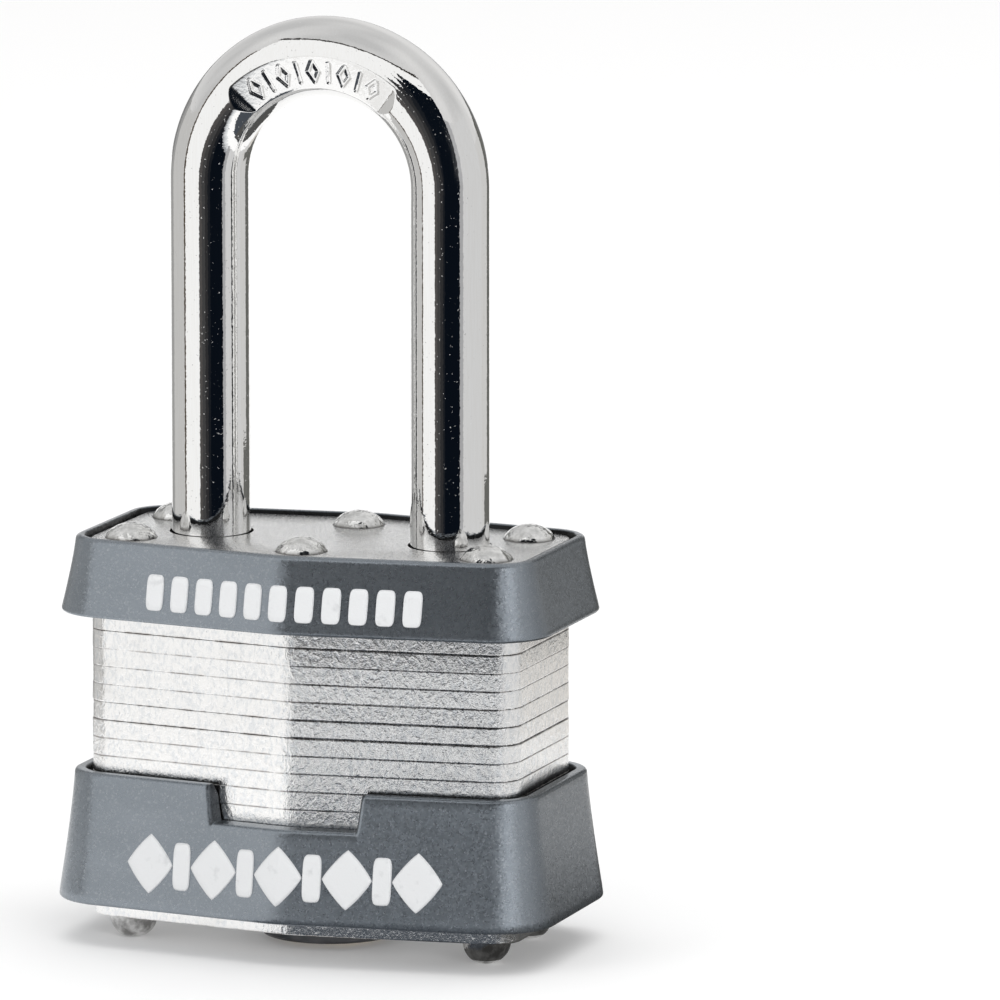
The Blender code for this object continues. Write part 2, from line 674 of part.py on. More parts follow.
def make_cam():
    disc_bottom = plate_bottom(HEEL_TAB_PLATE) + FIT_GAP
    disc_top = plate_top(HEEL_TAB_PLATE) - FIT_GAP
    stem_bottom = PLUG_TAIL_TOP + FIT_GAP
    profile = [
        (0.0, disc_top),
        (CAM_DISC_RADIUS, disc_top),
        (CAM_DISC_RADIUS, disc_bottom),
        (CAM_STEM_RADIUS, disc_bottom),
        (CAM_STEM_RADIUS, stem_bottom),
        (0.0, stem_bottom),
    ]
    cam = add_object("cam", turned_mesh("cam", profile, (0, 0), 24), BRASS)
    post_top = LEVER_TOP - 2 * FIT_GAP
    for label, angle in (("heel", 270 - CAM_POST_ANGLE), ("toe", 90 - CAM_POST_ANGLE)):
        x = CAM_POST_ORBIT * math.cos(math.radians(angle))
        y = CAM_POST_ORBIT * math.sin(math.radians(angle))
        low = (x, y, (disc_bottom + disc_top) / 2)
        post = rod_mesh(f"{label}_post", CAM_POST_RADIUS, low, (x, y, post_top), 12)
        combine(cam, helper(f"cam_{label}_post", post), "UNION")
    half_length, half_width = CAM_TONGUE_LENGTH / 2, CAM_TONGUE_WIDTH / 2
    low = (-half_length, -half_width, PLUG_TAIL_TOP - CAM_TONGUE_DEPTH)
    high = (half_length, half_width, stem_bottom + CAM_GAP)
    combine(cam, helper("cam_tongue", box_mesh("cam_tongue", low, high)), "UNION")


# ---------------------------------------------------------------- cylinder, plug and pins


def pin_chamber_cutter(label, z, front_y, back_y):
    low, high = (0.0, front_y, z), (0.0, back_y, z)
    return helper(label, rod_mesh(label, PIN_CHAMBER_RADIUS, low, high, 14, axis="Y"))


def make_cylinder_housing():
    profile = [
        (CYLINDER_RADIUS, CYLINDER_TOP),
        (CYLINDER_RADIUS, CYLINDER_FACE_Z + CYLINDER_EDGE_CHAMFER),
        (CYLINDER_RADIUS - CYLINDER_EDGE_CHAMFER, CYLINDER_FACE_Z),
        (PLUG_BORE_RADIUS, CYLINDER_FACE_Z),
        (PLUG_BORE_RADIUS, CYLINDER_TOP),
        (CYLINDER_RADIUS, CYLINDER_TOP),
    ]
    tube = turned_mesh("cylinder_housing", profile, (0, 0), 32)
    housing = add_object("cylinder_housing", tube, CYLINDER_METAL)
    tower_bottom = plate_bottom(2) + SEAT_GAP
    inside_wall_y = (PLUG_BORE_RADIUS + CYLINDER_RADIUS) / 2
    low = (-TOWER_HALF_WIDTH, inside_wall_y, tower_bottom)
    high = (TOWER_HALF_WIDTH, TOWER_BACK_Y, CYLINDER_TOP)
    tower = helper("pin_tower", box_mesh("pin_tower", low, high))
    combine(housing, tower, "UNION")
    for i, z in enumerate(PIN_STATIONS, start=1):
        chamber = pin_chamber_cutter(
            f"housing_chamber_{i}", z, PLUG_BORE_RADIUS - CUT_PAST, TOWER_BACK_Y + CUT_PAST
        )
        combine(housing, chamber, "DIFFERENCE")
    cover_low, cover_high = tower_bottom + CAM_GAP, CYLINDER_TOP - CAM_GAP
    channel_half = COVER_HALF_WIDTH + FIT_GAP
    low = (-channel_half, COVER_FRONT_Y - COVER_SIDE_GAP, cover_low - FIT_GAP)
    high = (channel_half, TOWER_BACK_Y + CUT_PAST, cover_high + FIT_GAP)
    combine(housing, helper("cover_channel", box_mesh("cover_channel", low, high)), "DIFFERENCE")
    low = (-COVER_HALF_WIDTH, COVER_FRONT_Y, cover_low)
    high = (COVER_HALF_WIDTH, TOWER_BACK_Y - COVER_SIDE_GAP, cover_high)
    add_object("spring_cover_strip", box_mesh("spring_cover_strip", low, high), BRASS)


def make_plug():
    profile = [
        (0.0, PLUG_TAIL_TOP),
        (PLUG_TAIL_RADIUS, PLUG_TAIL_TOP),
        (PLUG_TAIL_RADIUS, PLUG_TOP),
        (PLUG_RADIUS, PLUG_TOP),
        (PLUG_RADIUS, PLUG_FACE_Z + PLUG_FACE_CHAMFER),
        (PLUG_RADIUS - PLUG_FACE_CHAMFER, PLUG_FACE_Z),
        (0.0, PLUG_FACE_Z),
    ]
    plug = add_object("plug", turned_mesh("plug", profile, (0, 0), 32), BRASS)
    low = (-KEYWAY_HALF_WIDTH, KEYWAY_FRONT_Y, -CUT_PAST)
    high = (KEYWAY_HALF_WIDTH, KEYWAY_BACK_Y, KEYWAY_TOP)
    combine(plug, helper("keyway_blade", box_mesh("keyway_blade", low, high)), "DIFFERENCE")
    low = (0.0, WARD_FRONT_Y, -CUT_PAST)
    high = (WARD_SIDE_X, WARD_BACK_Y, KEYWAY_TOP)
    combine(plug, helper("keyway_ward", box_mesh("keyway_ward", low, high)), "DIFFERENCE")
    for i, z in enumerate(PIN_STATIONS, start=1):
        front_y, back_y = KEYWAY_BACK_Y - CAM_GAP, PLUG_RADIUS + CUT_PAST
        chamber = pin_chamber_cutter(f"plug_chamber_{i}", z, front_y, back_y)
        combine(plug, chamber, "DIFFERENCE")
    half_width = CAM_TONGUE_WIDTH / 2 + FIT_GAP
    reach = PLUG_TAIL_RADIUS + CUT_PAST
    low = (-reach, -half_width, PLUG_TAIL_TOP - CAM_TONGUE_DEPTH - FIT_GAP)
    high = (reach, half_width, PLUG_TAIL_TOP + CUT_PAST)
    combine(plug, helper("plug_tail_slot", box_mesh("tail_slot", low, high)), "DIFFERENCE")


def make_retainer_clip():
    outside = arc((0, 0), CLIP_RADIUS, CLIP_OPENING, 360 - CLIP_OPENING, 20)
    inside = arc((0, 0), PLUG_TAIL_RADIUS + FIT_GAP, 360 - CLIP_OPENING, CLIP_OPENING, 20)
    bottom = CYLINDER_TOP + 2 * FIT_GAP
    flat_piece("plug_retainer_clip", [outside + inside], bottom, CLIP_THICKNESS, SPRING_STEEL)


def make_pins():
    """Each stack stands with its joint at the plug's surface, as it does with the key in."""
    driver_front = PLUG_BORE_RADIUS + FIT_GAP
    end_gap = PIN_SPRING_WIRE + PIN_SPRING_END_GAP
    spring_start = DRIVER_PIN_BACK_Y + end_gap
    spring_length = COVER_FRONT_Y - end_gap - spring_start
    coil = coil_points(spring_length, PIN_SPRING_RADIUS, 2.5, 6)
    for i, (z, length) in enumerate(zip(PIN_STATIONS, KEY_PIN_LENGTHS), start=1):
        low, high = (0.0, KEY_PIN_BACK_Y - length, z), (0.0, KEY_PIN_BACK_Y, z)
        key_pin = rod_mesh(f"key_pin_{i}", PIN_RADIUS, low, high, 12, axis="Y")
        add_object(f"key_pin_{i}", key_pin, BRASS)
        low, high = (0.0, driver_front, z), (0.0, DRIVER_PIN_BACK_Y, z)
        driver = rod_mesh(f"driver_pin_{i}", PIN_RADIUS, low, high, 12, axis="Y")
        add_object(f"driver_pin_{i}", driver, BRASS)
        turns = [Vector((p.x, spring_start + p.z, z + p.y)) for p in coil]
        wire(f"pin_spring_{i}", turns, PIN_SPRING_WIRE, SPRING_STEEL)


def make_springs():
    low = plate_top(1) + SHACKLE_SPRING_WIRE + FIT_GAP
    length = HEEL_BOTTOM - SHACKLE_SPRING_WIRE - FIT_GAP - low
    origin = (-LEG_X, 0.0, low)
    turns = [Vector(origin) + p for p in coil_points(length, SHACKLE_SPRING_RADIUS, 5, 9)]
    wire("shackle_spring", turns, SHACKLE_SPRING_WIRE, SPRING_STEEL, origin)

    start = LEVER_TAIL + LEVER_SPRING_WIRE + FIT_GAP
    length = CHAMBER_HALF_WIDTH - LEVER_SPRING_WIRE - FIT_GAP - start
    middle_z = (LEVER_BOTTOM + LEVER_TOP) / 2
    middle_y = (LEVER_OUTER_Y + LEVER_INNER_Y) / 2
    for label, side in (("heel", 1), ("toe", -1)):
        turns = []
        for p in coil_points(length, LEVER_SPRING_RADIUS, 4, 7):
            turns.append(Vector((side * (start + p.z), p.x - side * middle_y, middle_z + p.y)))
        wire(f"lever_spring_{label}", turns, LEVER_SPRING_WIRE, SPRING_STEEL)


make_laminations()
make_rivets()
make_bumpers()
make_shackle()
make_levers()
make_cam()
make_cylinder_housing()
make_plug()
make_retainer_clip()
make_pins()
make_springs()
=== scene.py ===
"""Looks of the laminated padlock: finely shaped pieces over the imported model, and the studio.

Lengths are in millimetres and become metres where a mesh or an object is made.
"""

import math
import random

import bmesh
import bpy
from mathutils import Matrix, Vector, noise


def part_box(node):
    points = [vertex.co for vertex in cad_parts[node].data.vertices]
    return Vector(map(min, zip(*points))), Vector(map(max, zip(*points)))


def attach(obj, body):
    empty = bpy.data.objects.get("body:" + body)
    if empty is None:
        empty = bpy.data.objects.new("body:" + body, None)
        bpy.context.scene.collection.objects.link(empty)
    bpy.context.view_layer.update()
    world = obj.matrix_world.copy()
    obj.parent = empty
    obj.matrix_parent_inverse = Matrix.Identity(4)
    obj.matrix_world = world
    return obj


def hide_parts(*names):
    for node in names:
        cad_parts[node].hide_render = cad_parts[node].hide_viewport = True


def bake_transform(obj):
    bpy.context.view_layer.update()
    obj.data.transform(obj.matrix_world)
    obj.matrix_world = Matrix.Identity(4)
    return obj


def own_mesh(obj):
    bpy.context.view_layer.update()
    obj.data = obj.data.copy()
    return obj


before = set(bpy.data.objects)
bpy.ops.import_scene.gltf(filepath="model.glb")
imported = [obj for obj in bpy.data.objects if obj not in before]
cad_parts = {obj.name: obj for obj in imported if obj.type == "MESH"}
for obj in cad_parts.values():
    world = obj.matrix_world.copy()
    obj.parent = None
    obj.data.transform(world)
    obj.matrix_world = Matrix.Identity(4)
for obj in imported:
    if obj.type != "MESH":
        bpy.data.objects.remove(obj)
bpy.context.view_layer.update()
MM = 0.001


def box_mm(node):
    low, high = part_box(node)
    return Vector(low) / MM, Vector(high) / MM


# ---------------------------------------------------------------- sizes read from the frame

PLATE_COUNT = sum(name.startswith("lamination_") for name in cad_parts)
top_high = box_mm(f"lamination_{PLATE_COUNT:02d}")[1]
BODY_HALF_WIDTH = top_high.x
BODY_HALF_DEPTH = top_high.y
STACK_TOP = top_high.z
STACK_BOTTOM = box_mm("lamination_01")[0].z

shackle_low, shackle_high = box_mm("shackle")
HEEL_BOTTOM = shackle_low.z

# Sizes that the nodes' boxes don't give, as the CAD model has them
SHACKLE_RADIUS = 3.5
LEG_X = 11.2
CROWN_CENTRE_Z = shackle_high.z - SHACKLE_RADIUS - LEG_X
BODY_END_HALF_DEPTH = 8.2
BODY_CORNER_RADIUS = 2.5
CREASE_RADIUS = 6.0
LEAN = math.atan2(BODY_HALF_DEPTH - BODY_END_HALF_DEPTH, BODY_HALF_WIDTH)

# CAD points closer than this are one point
WELD_DISTANCE = 0.002

random.seed(7)


# ---------------------------------------------------------------- node helpers

# Where the Mix node keeps its colour sockets
MIX_COLOUR_INPUTS = (6, 7)
MIX_COLOUR_OUTPUT = 2


class Nodes:
    """A material's node tree, with the joins that this script repeats."""

    def __init__(self, name):
        self.material = bpy.data.materials.new(name)
        self.material.use_nodes = True
        self.tree = self.material.node_tree
        self.shader = self.tree.nodes["Principled BSDF"]
        self.place = self.add("ShaderNodeTexCoord").outputs["Object"]

    def add(self, kind, **settings):
        node = self.tree.nodes.new(kind)
        for key, value in settings.items():
            setattr(node, key, value)
        return node

    def link(self, source, target):
        self.tree.links.new(source, target)

    def noise(self, size, detail=3.0, stretch=(1, 1, 1), roughness=0.55, warp=0.0):
        """Noise whose features are about size millimetres across, stretched along each axis."""
        mapping = self.add("ShaderNodeMapping")
        mapping.inputs["Scale"].default_value = [1 / (size * MM * s) for s in stretch]
        self.link(self.place, mapping.inputs["Vector"])
        texture = self.add("ShaderNodeTexNoise")
        texture.inputs["Scale"].default_value = 1.0
        texture.inputs["Detail"].default_value = detail
        texture.inputs["Roughness"].default_value = roughness
        texture.inputs["Distortion"].default_value = warp
        self.link(mapping.outputs["Vector"], texture.inputs["Vector"])
        return texture.outputs["Fac"]

    def cells(self, size):
        """A random value and a random colour for each cell about size millimetres across."""
        mapping = self.add("ShaderNodeMapping")
        mapping.inputs["Scale"].default_value = [1 / (size * MM)] * 3
        self.link(self.place, mapping.inputs["Vector"])
        texture = self.add("ShaderNodeTexVoronoi")
        texture.inputs["Scale"].default_value = 1.0
        self.link(mapping.outputs["Vector"], texture.inputs["Vector"])
        split = self.add("ShaderNodeSeparateColor")
        self.link(texture.outputs["Color"], split.inputs["Color"])
        return split.outputs["Red"], texture.outputs["Color"]

    def ramp(self, source, stops):
        """Colours along a value: stops are (position, colour)."""
        node = self.add("ShaderNodeValToRGB")
        elements = node.color_ramp.elements
        while len(elements) < len(stops):
            elements.new(0.5)
        for element, (position, colour) in zip(elements, stops):
            element.position = position
            element.color = (*colour, 1.0)
        self.link(source, node.inputs["Fac"])
        return node.outputs["Color"]

    def span(self, source, low, high, out_low, out_high):
        """A value carried from the range low to high onto the range out_low to out_high."""
        node = self.add("ShaderNodeMapRange")
        for name, value in (
            ("From Min", low),
            ("From Max", high),
            ("To Min", out_low),
            ("To Max", out_high),
        ):
            node.inputs[name].default_value = value
        self.link(source, node.inputs["Value"])
        return node.outputs["Result"]

    def math(self, operation, first, second):
        node = self.add("ShaderNodeMath", operation=operation)
        for socket, value in zip(node.inputs, (first, second)):
            if isinstance(value, (int, float)):
                socket.default_value = value
            else:
                self.link(value, socket)
        return node.outputs["Value"]

    def mix(self, factor, first, second):
        """A mix of two colours, each either a tuple or a node's output."""
        node = self.add("ShaderNodeMix", data_type="RGBA")
        self.link(factor, node.inputs["Factor"])
        for index, value in zip(MIX_COLOUR_INPUTS, (first, second)):
            if isinstance(value, tuple):
                node.inputs[index].default_value = (*value, 1.0)
            else:
                self.link(value, node.inputs[index])
        return node.outputs[MIX_COLOUR_OUTPUT]

    def attribute(self, name):
        return self.add("ShaderNodeAttribute", attribute_name=name).outputs["Fac"]

    def flake_normal(self, colour, tilt):
        """The surface normal, tipped at random for each cell of a colour."""
        geometry = self.add("ShaderNodeNewGeometry")
        centred = self.add("ShaderNodeVectorMath", operation="SUBTRACT")
        centred.inputs[1].default_value = (0.5, 0.5, 0.5)
        self.link(colour, centred.inputs[0])
        tipped = self.add("ShaderNodeVectorMath", operation="MULTIPLY_ADD")
        tipped.inputs[1].default_value = (tilt, tilt, tilt)
        self.link(centred.outputs["Vector"], tipped.inputs[0])
        self.link(geometry.outputs["Normal"], tipped.inputs[2])
        unit = self.add("ShaderNodeVectorMath", operation="NORMALIZE")
        self.link(tipped.outputs["Vector"], unit.inputs[0])
        return unit.outputs["Vector"]

    def bump(self, layers, normal=None):
        """Bump from (height, depth in millimetres) layers, one over the other."""
        for height, depth in layers:
            node = self.add("ShaderNodeBump")
            node.inputs["Distance"].default_value = depth * MM
            self.link(height, node.inputs["Height"])
            if normal:
                self.link(normal, node.inputs["Normal"])
            normal = node.outputs["Normal"]
        self.link(normal, self.shader.inputs["Normal"])

    def colour(self, output):
        self.link(output, self.shader.inputs["Base Color"])

    def roughness(self, output):
        self.link(output, self.shader.inputs["Roughness"])

    def fixed(self, **values):
        for key, value in values.items():
            self.shader.inputs[key.replace("_", " ")].default_value = value


# ---------------------------------------------------------------- materials


def zinc_plate_material():
    """Zinc-plated sheet: a bright crust of fine flecks, with dirt along the cut edges."""
    n = Nodes("zinc_plate")
    crust = n.noise(0.42, detail=1.0, stretch=(0.8, 0.8, 1.4), warp=0.6)
    fine = n.noise(0.11, detail=2.0)
    cloud = n.noise(5.0, detail=3.0, stretch=(1.0, 1.0, 0.4))
    dirt = n.noise(2.2, detail=5.0, stretch=(1.0, 1.0, 3.0), roughness=0.7)
    pale = n.ramp(crust, [(0.32, (0.80, 0.815, 0.83)), (0.55, (0.925, 0.92, 0.912))])
    stained = n.mix(n.span(cloud, 0.55, 0.8, 0.0, 0.3), pale, (0.62, 0.61, 0.59))
    at_edge = n.math("MULTIPLY", n.attribute("edge"), n.span(dirt, 0.4, 0.6, 0.0, 0.92))
    n.colour(n.mix(at_edge, stained, (0.10, 0.065, 0.045)))
    facing = n.add("ShaderNodeSeparateXYZ")
    n.link(n.add("ShaderNodeNewGeometry").outputs["Normal"], facing.inputs["Vector"])
    flat_top = n.span(facing.outputs["Z"], 0.7, 0.95, 0.0, 0.08)
    n.roughness(n.math("ADD", n.span(fine, 0.3, 0.7, 0.13, 0.22), flat_top))
    n.bump([(crust, 0.036), (fine, 0.014)])
    n.fixed(Metallic=1.0)
    return n.material


def chrome_material():
    """Mirror plating, very slightly wavy, with pits and hair scratches."""
    n = Nodes("chrome_plate")
    stamp = n.attribute("stamp")
    hair = n.noise(0.5, detail=2.0, stretch=(0.3, 0.3, 6.0))
    wave = n.noise(0.45, detail=2.0)
    pits = n.noise(0.22, detail=1.0)
    crush = n.noise(0.5, detail=3.0)
    n.colour(n.ramp(hair, [(0.35, (0.865, 0.86, 0.85)), (0.65, (0.885, 0.885, 0.88))]))
    base = n.span(hair, 0.3, 0.7, 0.025, 0.04)
    n.roughness(n.math("ADD", base, n.math("MULTIPLY", stamp, 0.08)))
    pit_depth = n.span(pits, 0.72, 0.80, 0.0, 1.0)
    n.bump([(wave, 0.006), (pit_depth, 0.012), (n.math("MULTIPLY", crush, stamp), 0.014)])
    n.fixed(Metallic=1.0)
    return n.material


def rivet_material():
    """Bright upset steel, slightly hammered, with painted shade towards the rim, where the head
    sits on the plate.
    """
    n = Nodes("rivet_steel")
    dents = n.noise(0.8, detail=2.0)
    grain = n.noise(0.15, detail=3.0)
    unshaded_steel = n.ramp(dents, [(0.35, (0.72, 0.72, 0.71)), (0.6, (0.93, 0.93, 0.92))])
    # The edge attribute paints shade on the head's lowest rows, darkest at its seat on the plate
    n.colour(n.mix(n.attribute("edge"), unshaded_steel, (0.16, 0.155, 0.15)))
    n.roughness(n.span(grain, 0.3, 0.7, 0.08, 0.18))
    n.bump([(dents, 0.2), (grain, 0.006)])
    n.fixed(Metallic=1.0)
    return n.material


def foot_material():
    """The rivets' formed ends: darker than the heads, painted shade for the lock's dark underside
    that they reflect.
    """
    n = Nodes("rivet_foot_steel")
    dents = n.noise(1.1, detail=3.0)
    grain = n.noise(0.12, detail=3.0)
    n.colour(n.ramp(dents, [(0.37, (0.29, 0.285, 0.28)), (0.61, (0.74, 0.735, 0.73))]))
    n.roughness(n.span(grain, 0.3, 0.7, 0.14, 0.26))
    n.bump([(dents, 0.12), (grain, 0.008)])
    n.fixed(Metallic=1.0)
    return n.material


def bumper_material():
    """Moulded plastic, blue-grey, full of metal flake that tips each way under a satin skin."""
    n = Nodes("bumper_plastic")
    glint, flake = n.cells(0.13)
    skin = n.noise(0.28, detail=3.0)
    flow = n.noise(6.0, detail=2.0, stretch=(1.5, 1.5, 0.5))
    base = n.ramp(flow, [(0.3, (0.235, 0.262, 0.292)), (0.7, (0.26, 0.288, 0.32))])
    sparkled = n.mix(n.span(glint, 0.8, 1.0, 0.0, 0.35), base, (0.46, 0.48, 0.5))
    # The edge attribute paints shade: black in the gap under the top edge, dark on the notch's
    # sides, dimmer at the ends
    n.colour(n.mix(n.attribute("edge"), sparkled, (0.012, 0.013, 0.014)))
    n.roughness(n.span(skin, 0.3, 0.7, 0.25, 0.33))
    n.bump([(skin, 0.006)], n.flake_normal(flake, 0.12))
    n.fixed(Metallic=0.87, Coat_Weight=0.12, Coat_Roughness=0.2)
    return n.material


def mark_material():
    """Raised marks, coated white, a little worn and grey at random."""
    n = Nodes("white_marks")
    wear = n.noise(1.3, detail=4.0)
    skin = n.noise(0.2, detail=2.0)
    n.colour(n.ramp(wear, [(0.28, (0.58, 0.59, 0.60)), (0.4, (0.68, 0.69, 0.70))]))
    n.roughness(n.span(skin, 0.3, 0.7, 0.38, 0.52))
    n.bump([(skin, 0.012)])
    return n.material


def brass_material():
    """Turned brass with lathe lines and a light tarnish."""
    n = Nodes("turned_brass")
    lathe = n.noise(0.3, detail=2.0, stretch=(6.0, 6.0, 0.4))
    tarnish = n.noise(2.5, detail=3.0)
    n.colour(n.ramp(tarnish, [(0.35, (0.50, 0.34, 0.13)), (0.65, (0.74, 0.54, 0.24))]))
    n.roughness(n.span(lathe, 0.3, 0.7, 0.18, 0.36))
    n.bump([(lathe, 0.012)])
    n.fixed(Metallic=1.0)
    return n.material


def cylinder_material():
    """Dark die-cast zinc with a fine cast grain."""
    n = Nodes("dark_cast_zinc")
    cast = n.noise(0.35, detail=4.0)
    blotch = n.noise(3.0, detail=2.0)
    n.colour(n.ramp(blotch, [(0.35, (0.055, 0.058, 0.062)), (0.65, (0.13, 0.13, 0.135))]))
    n.roughness(n.span(cast, 0.3, 0.7, 0.34, 0.55))
    n.bump([(cast, 0.03)])
    n.fixed(Metallic=0.9)
    return n.material


def spring_material():
    """Drawn spring wire, faintly blued."""
    n = Nodes("spring_wire")
    drawn = n.noise(0.12, detail=2.0)
    heat = n.noise(2.0, detail=2.0)
    n.colour(n.ramp(heat, [(0.35, (0.34, 0.35, 0.38)), (0.65, (0.55, 0.54, 0.53))]))
    n.roughness(n.span(drawn, 0.3, 0.7, 0.22, 0.36))
    n.bump([(drawn, 0.006)])
    n.fixed(Metallic=1.0)
    return n.material


ZINC = zinc_plate_material()
CHROME = chrome_material()
RIVET = rivet_material()
FOOT = foot_material()
BUMPER = bumper_material()
MARKS = mark_material()
BRASS = brass_material()
CYLINDER = cylinder_material()
SPRING = spring_material()


# ---------------------------------------------------------------- mesh helpers


def add_piece(name, bm, materials, body, nodes=(), smooth_angle=40.0):
    """Makes the object from geometry in millimetres, and says what it rides on and stands for.

    A body of None leaves the piece free, on no body.
    """
    bmesh.ops.scale(bm, verts=bm.verts, vec=(MM, MM, MM))
    bmesh.ops.recalc_face_normals(bm, faces=bm.faces)
    mesh = bpy.data.meshes.new(name)
    bm.to_mesh(mesh)
    bm.free()
    mesh.shade_smooth()
    mesh.set_sharp_from_angle(angle=math.radians(smooth_angle))
    for material in materials:
        mesh.materials.append(material)
    item = bpy.data.objects.new(name, mesh)
    bpy.context.scene.collection.objects.link(item)
    if body:
        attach(item, body)
    if nodes:
        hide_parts(*nodes)
    return item


def grid_faces(bm, rows, close_across=True, close_along=False):
    """Quads between successive rows of vertices."""
    following = rows[1:] + (rows[:1] if close_along else [])
    for row, after in zip(rows, following):
        count = len(row) if close_across else len(row) - 1
        for i in range(count):
            j = (i + 1) % len(row)
            bm.faces.new((row[i], row[j], after[j], after[i]))


def write_values(item, name, values):
    """One number for each point of a piece, read by its material as an attribute."""
    item.data.attributes.new(name, "FLOAT", "POINT").data.foreach_set("value", values)


def ease(value, low, high):
    """0 up to low, 1 from high, and a smooth rise between them."""
    share = min(1.0, max(0.0, (value - low) / (high - low)))
    return share * share * (3 - 2 * share)


# ---------------------------------------------------------------- body outline

# Where a facet has points: spaced along it, and close together at the lower band's notch
FACET_XS = [0.5 * BODY_HALF_WIDTH * i / 12 for i in range(1, 21)]
NOTCH_XS = [6.0 + 0.1 * i for i in range(14)]
CORNER_STEPS, END_STEPS, CREASE_STEPS = 14, 8, 4


def facet_half_depth(x):
    """How far the flat front or back face of the plates lies from the middle."""
    return BODY_HALF_DEPTH - abs(x) * math.tan(LEAN)


def quarter_outline():
    """(x, y, normal x, normal y) from the middle of the right end to the middle of the back."""
    radius = BODY_CORNER_RADIUS
    centre_x = BODY_HALF_WIDTH - radius
    centre_y = BODY_END_HALF_DEPTH + radius * (math.tan(LEAN) - 1 / math.cos(LEAN))
    points = [(BODY_HALF_WIDTH, centre_y * i / END_STEPS, 1.0, 0.0) for i in range(END_STEPS)]
    for i in range(CORNER_STEPS + 1):
        angle = (math.pi / 2 - LEAN) * i / CORNER_STEPS
        c, s = math.cos(angle), math.sin(angle)
        points.append((centre_x + radius * c, centre_y + radius * s, c, s))
    reach = CREASE_RADIUS * math.sin(LEAN)
    last_x = points[-1][0] - 0.2
    xs = {round(x, 3) for x in FACET_XS + NOTCH_XS if reach < x < last_x}
    for x in sorted(xs, reverse=True):
        points.append((x, facet_half_depth(x), math.sin(LEAN), math.cos(LEAN)))
    crease_y = facet_half_depth(reach) - CREASE_RADIUS * math.cos(LEAN)
    for i in range(CREASE_STEPS, -1, -1):
        angle = LEAN * i / CREASE_STEPS
        s, c = math.sin(angle), math.cos(angle)
        points.append((CREASE_RADIUS * s, crease_y + CREASE_RADIUS * c, s, c))
    return points


def full_outline():
    """The whole outline, as (x, y, normal x, normal y), anticlockwise from the right end."""
    quarter = quarter_outline()
    back = quarter + [(-x, y, -nx, ny) for x, y, nx, ny in quarter[-2:0:-1]]
    return back + [(-x, -y, -nx, -ny) for x, y, nx, ny in back]


OUTLINE = full_outline()


def at(i, offset, z):
    """The point on the outline moved outwards by offset."""
    x, y, nx, ny = OUTLINE[i]
    return Vector((x + nx * offset, y + ny * offset, z))


# ---------------------------------------------------------------- laminations

# Gap between plates in the CAD model, and the gaps shown instead, drawn at random
CAD_SEAM_GAP = 0.1
SEAM_GAPS = [random.choice((0.004, 0.008, 0.018, 0.042)) for _ in range(PLATE_COUNT + 1)]
# How far a plate stands out of or into the stack, and how far its rim leans, drawn at random
PLATE_SHIFT = (-0.06, 0.03)
PLATE_LEAN = (-0.035, 0.045)
# Heights of the broad and the fine unevenness along a plate's rim
BROAD_WAVE, FINE_WAVE = 0.03, 0.012
# How level a CAD plate's top face is, how round its round holes are, and the points they get
FLAT_WITHIN = 0.01
ROUND_WITHIN, HOLE_STEPS = 0.02, 48


def hole_loops(node):
    """The openings cut in a CAD plate, as closed loops of (x, y) in its top face.

    The widest loop, the plate's own outline, is left out.
    """
    bm = bmesh.new()
    bm.from_mesh(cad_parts[node].data)
    bmesh.ops.remove_doubles(bm, verts=bm.verts, dist=WELD_DISTANCE * MM)
    top = max(v.co.z for v in bm.verts)
    flat = {f for f in bm.faces if all(abs(v.co.z - top) < FLAT_WITHIN * MM for v in f.verts)}
    rim = [e for e in bm.edges if sum(f in flat for f in e.link_faces) == 1]
    ends = {}
    for edge in rim:
        for vert in edge.verts:
            ends.setdefault(vert, []).append(edge)
    loops = []
    left = list(rim)
    while left:
        edge = left.pop(0)
        first, current = edge.verts
        loop = [first.co.copy(), current.co.copy()]
        while current != first:
            edge = next(e for e in ends[current] if e in left)
            left.remove(edge)
            current = edge.other_vert(current)
            loop.append(current.co.copy())
        loops.append([(p.x / MM, p.y / MM) for p in loop[:-1]])
    bm.free()
    loops.sort(key=lambda loop: max(x for x, _ in loop))
    widest = max(loops, key=lambda loop: max(abs(x) for x, _ in loop))
    loops.remove(widest)
    return [rounder(loop) for loop in loops]


def rounder(loop):
    """A loop whose points lie on a circle comes back with more points on it."""
    centre_x = sum(x for x, _ in loop) / len(loop)
    centre_y = sum(y for _, y in loop) / len(loop)
    reach = [math.hypot(x - centre_x, y - centre_y) for x, y in loop]
    if max(reach) - min(reach) > ROUND_WITHIN:
        return loop
    angles = [2 * math.pi * i / HOLE_STEPS for i in range(HOLE_STEPS)]
    return [(centre_x + reach[0] * math.cos(a), centre_y + reach[0] * math.sin(a)) for a in angles]


